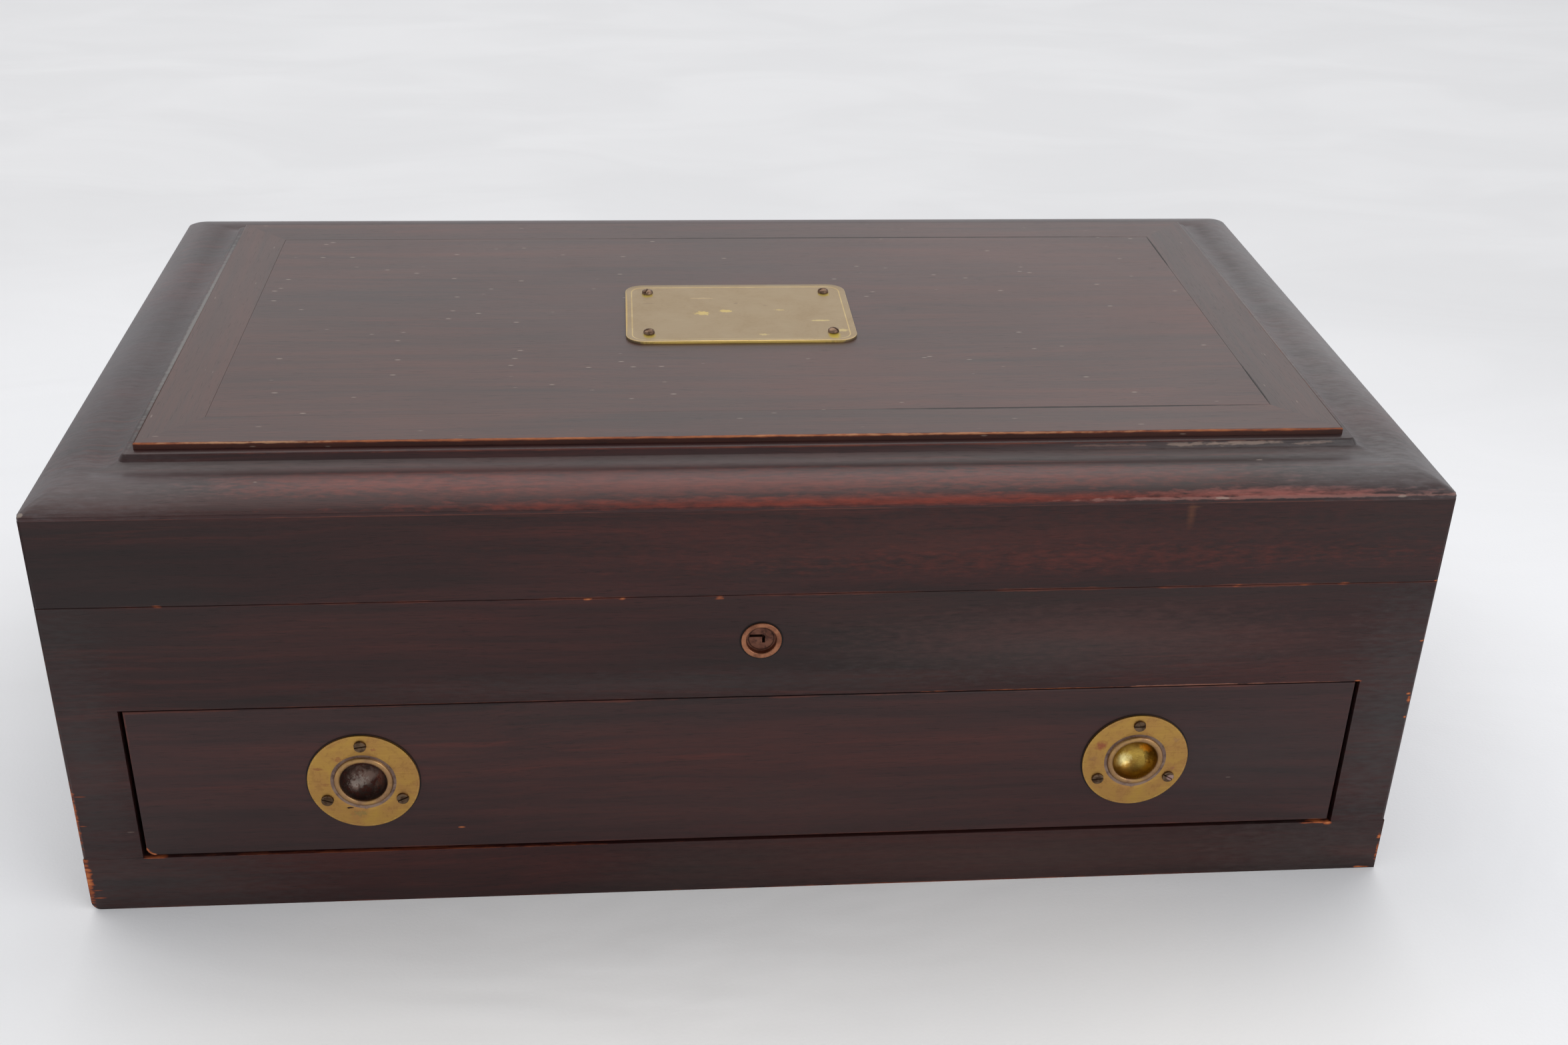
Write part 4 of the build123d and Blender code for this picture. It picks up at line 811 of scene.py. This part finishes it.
def slottedHead(bm, centre, normal, head, slot, turn, dome=0.0):
    # a screw head with a worn slot: a disc with an eased rim and a skirt, pressed in along the slot
    upright = normal.to_track_quat("Z", "Y").to_matrix().to_4x4()
    face = Matrix.Translation(centre) @ upright @ Matrix.Rotation(radians(turn), 4, "Z")
    disc = bmesh.ops.create_grid(bm, x_segments=30, y_segments=30, size=head)["verts"]
    slotHalf = slot * screwWear["slotSpread"]
    for vert in disc:
        x, y = vert.co.x, vert.co.y
        reach = max(abs(x), abs(y))
        length = Vector((x, y)).length
        if length > 0:
            x, y = x * reach / length, y * reach / length
        r = reach / head
        eased = max(0.0, (r - screwWear["flat"]) / (1 - screwWear["flat"])) ** 2
        height = dome * (1 - r * r) - screwWear["rimDrop"] * mm * eased
        if r > 0.999:
            height -= screwWear["skirt"] * mm + dome * 0.4
        if abs(y) < slotHalf:
            height -= screwWear["slotDepth"] * mm * min(1.0, (slotHalf - abs(y)) / (screwWear["slotWall"] * mm))
        vert.co = face @ Vector((x, y, height))


cupMarks = {
    "left": [
        markAt((0.2, 0.05, 0.03), (-134.5, -129.5, 56.5), (3.0, 4, 2.2), torn=2.4, share=0.55),
        markAt((0.22, 0.06, 0.03), (-127, -131, 50), (1.6, 4, 3.6), torn=2.4, share=0.4),
        # painted glint at the lower left of the bowl
        markAt((0.27, 0.23, 0.2), (-134.4, -130, 48.3), (3.2, 4, 2.0), torn=3.4, share=0.55),
    ],
    "right": [
        # painted shade on the right and top of the bowl, a painted orange reflection at the upper right and a
        # painted highlight at the lower left
        markAt((0.09, 0.042, 0.01), (139.2, -131, 51.5), (1.9, 4, 3.6), torn=1.6, share=0.6),
        markAt((0.12, 0.06, 0.012), (134, -131, 59.0), (5.0, 4, 1.0), torn=1.6, share=0.5),
        markAt((1.0, 0.42, 0.03), (137.8, -130, 53.2), (2.2, 4, 2.0), torn=1.2, share=0.85, edge=1.6),
        markAt((1.0, 0.87, 0.42), (130.2, -130, 48.4), (4.4, 5, 2.3), torn=0.9, share=0.9, edge=1.0),
    ],
}
pullLooks = {
    "left": ("darkCup", [
        # painted highlight: a bright line on the flange's rounded outer edge
        onFront((0.62, 0.45, 0.17), -131.9, 51.9, 19, 19, y=-135.6, deep=3, torn=0.9, share=0.45,
                ring=(18.2, 0.5)),
        onPull((0.05, 0.025, 0.02), -137.4, 41.2, 1.5, 0.45, torn=1.6),
        onPull((0.26, 0.085, 0.05), -139.2, 61.4, 1.7, 1.4, torn=3.0, share=0.5),
        onPull((0.26, 0.09, 0.05), -146.4, 57.6, 1.3, 0.7, torn=3.0, share=0.55),
        onPull((0.26, 0.1, 0.05), -144.6, 51.0, 1.8, 0.8, torn=3.0, share=0.4),
        onPull((0.2, 0.2, 0.08), -134, 38.6, 2.6, 1.2, torn=2.4, share=0.4),
        onPull((0.3, 0.1, 0.06), -127.5, 65.0, 0.9, 0.9, share=0.6),
    ]),
    "right": ("brightCup", [
        # painted highlight: a bright line on the flange's rounded outer edge
        onFront((0.62, 0.45, 0.17), 132.9, 51.9, 19, 19, y=-135.6, deep=3, torn=0.9, share=0.5,
                ring=(18.2, 0.5)),
        onPull((0.27, 0.065, 0.05), 120.2, 58.6, 3.0, 2.6, torn=0.9, share=0.75, edge=1.8),
        onPull((0.3, 0.16, 0.08), 117.9, 53.0, 1.5, 1.2, torn=2.0, share=0.45),
        onPull((0.3, 0.12, 0.08), 146.6, 48.0, 1.2, 0.7, share=0.5),
        onPull((0.3, 0.17, 0.1), 146.4, 60.0, 1.6, 1.0, share=0.4),
    ]),
}
steelLook = metalLook("dark_screw_steel", brassFinishes["steel"], marks=[
    onPull((0.42, 0.28, 0.25), 146.2, 44.5, 1.5, 1.3, torn=0.8, share=0.85)])


def faceCentre(node):
    # the middle of a round fitting, in the plane of the chest's front
    low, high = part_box(node)
    return Vector(((low.x + high.x) / 2, frontFace, (low.z + high.z) / 2))


headMesh = bmesh.new()
for side, (cupKind, marks) in pullLooks.items():
    centre = faceCentre(side + "_pull_flange")
    flangeLook = metalLook(side + "_flange_brass", brassFinishes["flange"], centre, marks)
    flange = newPiece(side + "_flange_turned", latheMesh(side + "_flange", flangeOutline(), centre),
                      [flangeLook, metalLook(side + "_groove_brass", brassFinishes["groove"], centre)],
                      "drawer", [side + "_pull_flange"])
    for place, slotTurn in enumerate(pull["slotTurns"][side]):
        around = radians(90 + place * 120)
        head = centre + Vector((cos(around), 0, sin(around))) * pull["screwCircle"] * mm
        head.y -= pull["flangeThickness"] * mm
        carve(flange, screwCutter(head, pull["screwHead"] * mm + 0.1 * mm, pull["countersink"] * mm))
        head.y += pull["screwSunk"] * mm
        slottedHead(headMesh, head, Vector((0, -1, 0)), pull["screwHead"] * mm, pull["screwSlot"] * mm, slotTurn)
    flange.data.shade_smooth()
    flange.data.set_sharp_from_angle(angle=radians(40))
    for face in flange.data.polygons:
        # the sunk ring between flange and cup is darker
        corners = [flange.data.vertices[index].co - centre for index in face.vertices]
        if all(Vector((co.x, co.z)).length < (pull["sunkRadius"] + 0.2) * mm for co in corners):
            face.material_index = 1
    cupMesh = latheMesh(side + "_cup", cupOutline(), centre)
    newPiece(side + "_cup_turned", cupMesh,
             [metalLook(side + "_cup_brass", brassFinishes[cupKind], centre, cupMarks[side]),
              metalLook(side + "_rim_brass", brassFinishes["rim"], centre)],
             "drawer", [side + "_pull_cup"])
    for face in cupMesh.polygons:
        if face.center.y < frontFace - 0.0002:
            face.material_index = 1
bmesh.ops.remove_doubles(headMesh, verts=headMesh.verts, dist=1e-7)
bmesh.ops.recalc_face_normals(headMesh, faces=headMesh.faces)
mesh = finished("pull_screw_heads", headMesh, sharp=42)
newPiece("pull_screw_heads", mesh, [steelLook], "drawer", ["pull_screws"])
print("finger pulls turned")

# Name plate, bare, with a bevelled rim

plate = {"corner": 6.8, "bevelWidth": 2.4, "bevelDrop": 0.24, "cornerSteps": 8, "shorter": 1.2,
         "rubbedLines": (0.16, 0.22)}
low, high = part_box("name_plate")
high.y -= plate["shorter"] * mm
bm = bmesh.new()
bmesh.ops.create_cube(bm, size=1.0,
                      matrix=Matrix.Translation((low + high) / 2) @ Matrix.Diagonal((*(high - low), 1)))
upright = [edge for edge in bm.edges if abs(edge.verts[0].co.z - edge.verts[1].co.z) > 0.5 * mm]
bmesh.ops.bevel(bm, geom=upright, offset=plate["corner"] * mm, offset_type="OFFSET", profile=0.5,
                segments=plate["cornerSteps"], affect="EDGES", material=-1)
lid = max(bm.faces, key=lambda face: face.calc_center_median().z)
outerVerts = list(lid.verts)
bmesh.ops.inset_region(bm, faces=[lid], thickness=plate["bevelWidth"] * mm, depth=0, use_even_offset=True)
for vert in outerVerts:
    vert.co.z -= plate["bevelDrop"] * mm
for level, width in zip((high.z, high.z - plate["bevelDrop"] * mm), plate["rubbedLines"]):
    # rubbed lines of brighter brass along both arrises of the bevel
    rim = [edge for edge in bm.edges if all(abs(vert.co.z - level) < 1e-6 for vert in edge.verts)]
    made = bmesh.ops.bevel(bm, geom=rim, offset=width * mm, offset_type="OFFSET", segments=2, profile=0.5,
                           affect="EDGES", material=-1, clamp_overlap=True)
    for face in made["faces"]:
        face.material_index = 1
mesh = finished("bevelled_plate", bm, sharp=30)
plateMarks = [
    onPlate((0.52, 0.39, 0.13), -12.6, -0.7, 3.1, 2.3, torn=1.4, share=0.75),
    onPlate((0.52, 0.39, 0.13), -3.6, 1.4, 3.0, 1.6, torn=1.4, share=0.75),
    onPlate((0.55, 0.42, 0.15), 16.5, 2.2, 1.9, 0.8, share=0.5),
    onPlate((0.56, 0.44, 0.18), 31, -8.5, 4.0, 0.8, torn=1.4, share=0.6),
    onPlate((0.56, 0.44, 0.18), 37.5, -18.0, 3.6, 1.4, z=165.6, torn=1.4, share=0.55),
    onPlate((0.55, 0.43, 0.18), 9, -21.5, 1.8, 1.2, share=0.5),
    # painted highlight: a bright line along the plate's front edge
    onPlate((0.95, 0.68, 0.2), 1, -27.95, 46, 0.75, z=165.2, deep=2, torn=0.4, share=0.95),
    onPlate((0.55, 0.36, 0.1), -41.2, 0, 0.5, 26, z=165.4, deep=2, torn=0.6, share=0.5),
    onPlate((0.16, 0.1, 0.06), 0.5, 9.0, 1.2, 0.6, share=0.5),
    onPlate((0.2, 0.13, 0.08), 11.5, 6.6, 0.9, 0.9, share=0.5),
    onPlate((0.34, 0.25, 0.035), -33.0, 18.0, 2.6, 3.0, torn=0.8, share=0.8),
    onPlate((0.34, 0.25, 0.035), 35.0, 18.0, 2.6, 3.0, torn=0.8, share=0.8),
    onPlate((0.36, 0.26, 0.03), -33.0, -21.6, 2.6, 3.4, torn=0.8, share=0.85),
    onPlate((0.38, 0.28, 0.02), 35.0, -22.4, 2.5, 4.4, torn=0.8, share=0.9),
    onPlate((0.5, 0.37, 0.2), -12, 14.5, 5, 0.7, torn=1.6, share=0.4),
    onPlate((0.2, 0.13, 0.08), -33, 9.5, 2.2, 0.7, torn=1.6, share=0.4),
]
plateLook = metalLook("name_plate_brass", brassFinishes["plate"], (low + high) / 2, plateMarks)
rimLook = metalLook("plate_rim_brass", brassFinishes["brightRim"], (low + high) / 2)
newPiece("bevelled_plate", mesh, [plateLook, rimLook], "lid", ["name_plate"])
bm = bmesh.new()
plateScrews = {"spacing": (68.0, 39.5), "head": 2.15, "neck": 0.45, "dome": 0.85, "slot": 0.5,
               "turns": (15, -35, 70, 20)}
middle = (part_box("name_plate")[0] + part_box("name_plate")[1]) / 2
for place, (sideX, sideY) in enumerate(((-1, -1), (1, -1), (-1, 1), (1, 1))):
    spot = Vector((middle.x + sideX * plateScrews["spacing"][0] / 2 * mm,
                   middle.y + sideY * plateScrews["spacing"][1] / 2 * mm, high.z + plateScrews["neck"] * mm))
    slottedHead(bm, spot, Vector((0, 0, 1)), plateScrews["head"] * mm, plateScrews["slot"] * mm,
                plateScrews["turns"][place], plateScrews["dome"] * mm)
bmesh.ops.recalc_face_normals(bm, faces=bm.faces)
screwLook = metalLook("plate_screw_steel", brassFinishes["brownSteel"])
mesh = finished("plate_screw_heads", bm, sharp=42)
newPiece("plate_screw_heads", mesh, [screwLook], "lid", ["plate_screws"])
print("name plate and its screws")

# Keyhole, lock and hinges

keyRing = {"plugRadius": 4.95, "sleeve": 5.9, "radius": 6.75, "depth": 5.1, "lip": 0.2, "innerRound": 0.5,
           "outerRound": 0.35}
keyCentre = faceCentre("keyhole_ring")
inner, outer, lip = keyRing["innerRound"], keyRing["outerRound"], keyRing["lip"]
ringOutline = [(keyRing["plugRadius"], keyRing["depth"]), (keyRing["plugRadius"], -lip)]
ringOutline += roundedCorner((keyRing["plugRadius"] + inner, -lip), inner, 180, 270, 4)
ringOutline += roundedCorner((keyRing["radius"] - outer, -outer), outer, -90, 0, 4)
ringOutline += [(keyRing["radius"], 0.0), (keyRing["sleeve"], 0.0), (keyRing["sleeve"], keyRing["depth"])]
newPiece("keyhole_ring_turned", latheMesh("keyhole_ring", ringOutline, keyCentre),
         [metalLook("keyhole_ring_brass", brassFinishes["keyRing"], keyCentre)], "case",
         ["keyhole_ring"])

brass, steel = ("fittings", "aged_brass"), ("steel", "dark_steel")
fittings = {  # finish, slot, and the width that the arrises are eased by in mm
    "key_plug": ("plug", "brown_brass", 0.12), "lock_case": (*brass, 0.15), "lock_cover": (*brass, 0.2),
    "lock_top_plate": (*brass, 0.2), "strike_plate": (*brass, 0.2), "lock_bolt": (*steel, 0.15),
    "left_lower_leaf": (*brass, 0.15), "right_lower_leaf": (*brass, 0.15), "left_upper_leaf": (*brass, 0.15),
    "right_upper_leaf": (*brass, 0.15), "hinge_pins": (*steel, 0.1), "lock_screws": (*steel, 0.08),
    "strike_screws": (*steel, 0.08), "lower_hinge_screws": (*steel, 0.08), "upper_hinge_screws": (*steel, 0.08),
}
fittingMarks = {"key_plug": [onFront((0.03, 0.016, 0.012), 1.4, 104.3, 6, 6, deep=3, torn=0.8, share=0.75,
                                     ring=(4.2, 0.3))]}
for node, (finish, slot, width) in fittings.items():
    low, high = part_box(node)
    look = metalLook(node + "_metal", brassFinishes[finish], (low + high) / 2, fittingMarks.get(node, ()))
    bm = nodeShape(node)
    ease(bm, arrises(bm, 1.2 * mm, lambda edge: True), width * mm, 2)
    newPiece(node + "_eased", finished(node + "_eased", bm, sharp=30), [look], bodyOf(node), [node])
print("keyhole, lock and hinges")

# Felt linings, one laid sheet for each strip

felt = {"colour": (0.075, 0.014, 0.022), "pale": (0.15, 0.045, 0.055), "lint": (0.3, 0.22, 0.22),
        "roughness": 0.95, "sheen": 0.35, "rise": 0.12, "thickness": 1.1, "cell": 6}


def feltLook():
    look, tree, shader, place = freshLook("baize")
    fibre = pattern(tree, place, (900, 900, 900), 4.0, 0.7, 1.2)
    nap = pattern(tree, place, (26, 26, 26), 3.0, 0.6)
    lint = spread(tree, pattern(tree, place, (2600, 700, 1500), 1.0), 0.7, 0.78, 0.0, 0.4)
    tone = spread(tree, plus(tree, times(tree, fibre, 0.6), times(tree, nap, 0.4)), 0.38, 0.66)
    colour = blendColours(tree, tone, felt["colour"], felt["pale"])
    colour = blendColours(tree, lint, colour, felt["lint"])
    bump = put(tree, "Bump", {}, {"Height": fibre, "Strength": 0.6, "Distance": 0.0006})
    wire(tree, shader, {"Roughness": felt["roughness"], "Sheen Weight": felt["sheen"], "Sheen Roughness": 0.5,
                        "Base Color": colour, "Normal": bump.outputs[0]})
    return look


feltCloth = feltLook()


def layFelt(name, low, high, body, node):
    # a gently uneven cloth with a cut edge, inside the room that its strip has
    width, length = high.x - low.x, high.y - low.y
    bm = bmesh.new()
    across, along = (max(8, int(size / (felt["cell"] * mm))) for size in (width, length))
    middle = Matrix.Translation(((low.x + high.x) / 2, (low.y + high.y) / 2, low.z))
    bmesh.ops.create_grid(bm, x_segments=across, y_segments=along, size=0.5,
                          matrix=middle @ Matrix.Diagonal((width, length, 1, 1)))
    for vert in bm.verts:
        ripple = noise.noise(vert.co * 45 + Vector((3, 7, 1))) * 0.5 + 0.5
        vert.co.z = low.z + 0.05 * mm + felt["rise"] * mm * ripple
    mesh = finished(name, bm)
    mesh.shade_smooth()
    piece = newPiece(name, mesh, [feltCloth], body, [node])
    thick = piece.modifiers.new("nap", "SOLIDIFY")
    thick.thickness = felt["thickness"] * mm
    thick.offset = 1.0


def strips(node):
    # the loose strips of a lining, as pairs of corners
    bm = nodeShape(node)
    left = set(bm.verts)
    found = []
    while left:
        pending = [left.pop()]
        island = []
        while pending:
            vert = pending.pop()
            island.append(vert.co.copy())
            for edge in vert.link_edges:
                other = edge.other_vert(vert)
                if other in left:
                    left.remove(other)
                    pending.append(other)
        found.append((Vector([min(co[a] for co in island) for a in range(3)]),
                      Vector([max(co[a] for co in island) for a in range(3)])))
    bm.free()
    return sorted(found, key=lambda pair: (round(pair[0].x, 4), round(pair[0].y, 4)))


for node, body, carrier in (("tray_lining", "case", "compartment_floor_eased"),
                            ("drawer_lining", "drawer", "drawer_bottom_eased"),
                            ("lid_lining", "lid", "moulded_lid_board")):
    for number, (low, high) in enumerate(strips(node)):
        layFelt(node + "_cloth_" + str(number + 1), low, high, body, node)
print("felt linings laid")

# Floor, lamps, sky and camera

floorCloth = {"near": (0.855, 0.86, 0.88), "far": (0.63, 0.63, 0.64), "painted_bounce_light": (0.965, 0.95, 0.935),
              "painted_fold_shade": (0.76, 0.76, 0.77), "folds": 0.22, "size": 3.0}
floorLook, tree, shader, place = freshLook("pale_cloth_floor")
folds = pattern(tree, place, (5, 9, 1), 3.0, 0.5, 0.8)
weave = pattern(tree, place, (900, 900, 1), 2.0)
far = spread(tree, vectors(tree, "LENGTH", vectors(tree, "SUBTRACT", place, (-0.12, -0.42, 0))), 0.5, 1.1)
# painted light: near the front of the chest the cloth is paler and warmer, lifting its shadow like light bounced
# off the wood
near = spread(tree, vectors(tree, "LENGTH", vectors(tree, "SUBTRACT", place, (0, -0.27, 0))), 0.33, 0.12)
cloth = blendColours(tree, far, floorCloth["near"], floorCloth["far"])
cloth = blendColours(tree, near, cloth, floorCloth["painted_bounce_light"])
# painted shade: the cloth is darker along the folds
cloth = blendColours(tree, spread(tree, folds, 0.35, 0.7, 0.0, floorCloth["folds"]), cloth, floorCloth["painted_fold_shade"])
bump = put(tree, "Bump", {}, {"Height": plus(tree, folds, times(tree, weave, 0.03)),
                              "Strength": 0.25, "Distance": 0.01})
wire(tree, shader, {"Roughness": 0.95, "Specular IOR Level": 0.1, "Base Color": cloth, "Normal": bump.outputs[0]})
bm = bmesh.new()
bmesh.ops.create_grid(bm, x_segments=40, y_segments=40, size=floorCloth["size"])
mesh = finished("floor", bm)
mesh.materials.append(floorLook)
added("floor", mesh)

lamps = {
    "overhead": {"at": (-0.25, 1.1, 2.3), "aim": (0, 0.0, 0.1), "size": (3.8, 2.2), "power": 45.5,
                 "colour": (1.0, 0.985, 0.965)},
    "window": {"at": (1.3, -1.15, 1.1), "aim": (0, 0, 0.08), "size": (1.5, 0.5), "power": 7.6,
               "colour": (0.99, 0.99, 1.0)},
}
for name, lamp in lamps.items():
    data = bpy.data.lights.new(name, "AREA")
    data.shape = "RECTANGLE"
    data.size, data.size_y = lamp["size"]
    data.energy = lamp["power"]
    data.color = lamp["colour"]
    light = added(name, data)
    light.location = lamp["at"]
    light.rotation_euler = (Vector(lamp["aim"]) - Vector(lamp["at"])).to_track_quat("-Z", "Y").to_euler()
    light.visible_camera = False

skyLight = {"colour": (0.96, 0.975, 1.0, 1), "horizon": 0.9, "overhead": 0.3, "back": 0.1, "right": 0.13,
            "soft": 1.14, "seen": 0.86}
world = bpy.data.worlds.new("soft_sky")
bpy.context.scene.world = world
world.use_nodes = True
tree = world.node_tree
background = tree.nodes["Background"]
# brighter near the horizon than overhead, and towards the back and the right
facing = put(tree, "SeparateXYZ", {}, {0: put(tree, "TexCoord").outputs["Generated"]}).outputs
sky = spread(tree, facing[2], 0.42, 0.95, skyLight["horizon"], skyLight["overhead"])
sky = plus(tree, sky, times(tree, facing[1], skyLight["back"]))
sky = plus(tree, sky, times(tree, facing[0], skyLight["right"]))
path = put(tree, "LightPath").outputs
mirrored = sums(tree, "MAXIMUM", path["Is Glossy Ray"], path["Is Transmission Ray"])
soft = times(tree, sky, skyLight["soft"])
lit = {0: path["Is Camera Ray"], 2: soft, 3: skyLight["seen"]}
level = put(tree, "Mix", {"data_type": "FLOAT"}, lit).outputs[0]
level = put(tree, "Mix", {"data_type": "FLOAT"}, {0: mirrored, 2: level, 3: sky}).outputs[0]
wire(tree, background, {"Color": skyLight["colour"], "Strength": level})

view = {"lens": 42.11, "at": (-0.04066, -0.64413, 0.42766), "turn": (61.3782, -1.4498, -4.6318)}
cameraData = bpy.data.cameras.new("camera")
cameraData.lens = view["lens"]
cameraData.sensor_width = 36.0
cameraData.sensor_fit = "HORIZONTAL"
cameraData.clip_start = 0.01
camera = added("camera", cameraData)
camera.location = view["at"]
camera.rotation_euler = [radians(angle) for angle in view["turn"]]
bpy.context.scene.camera = camera
bpy.context.scene.view_settings.view_transform = "Standard"
print("floor, lamps and camera")
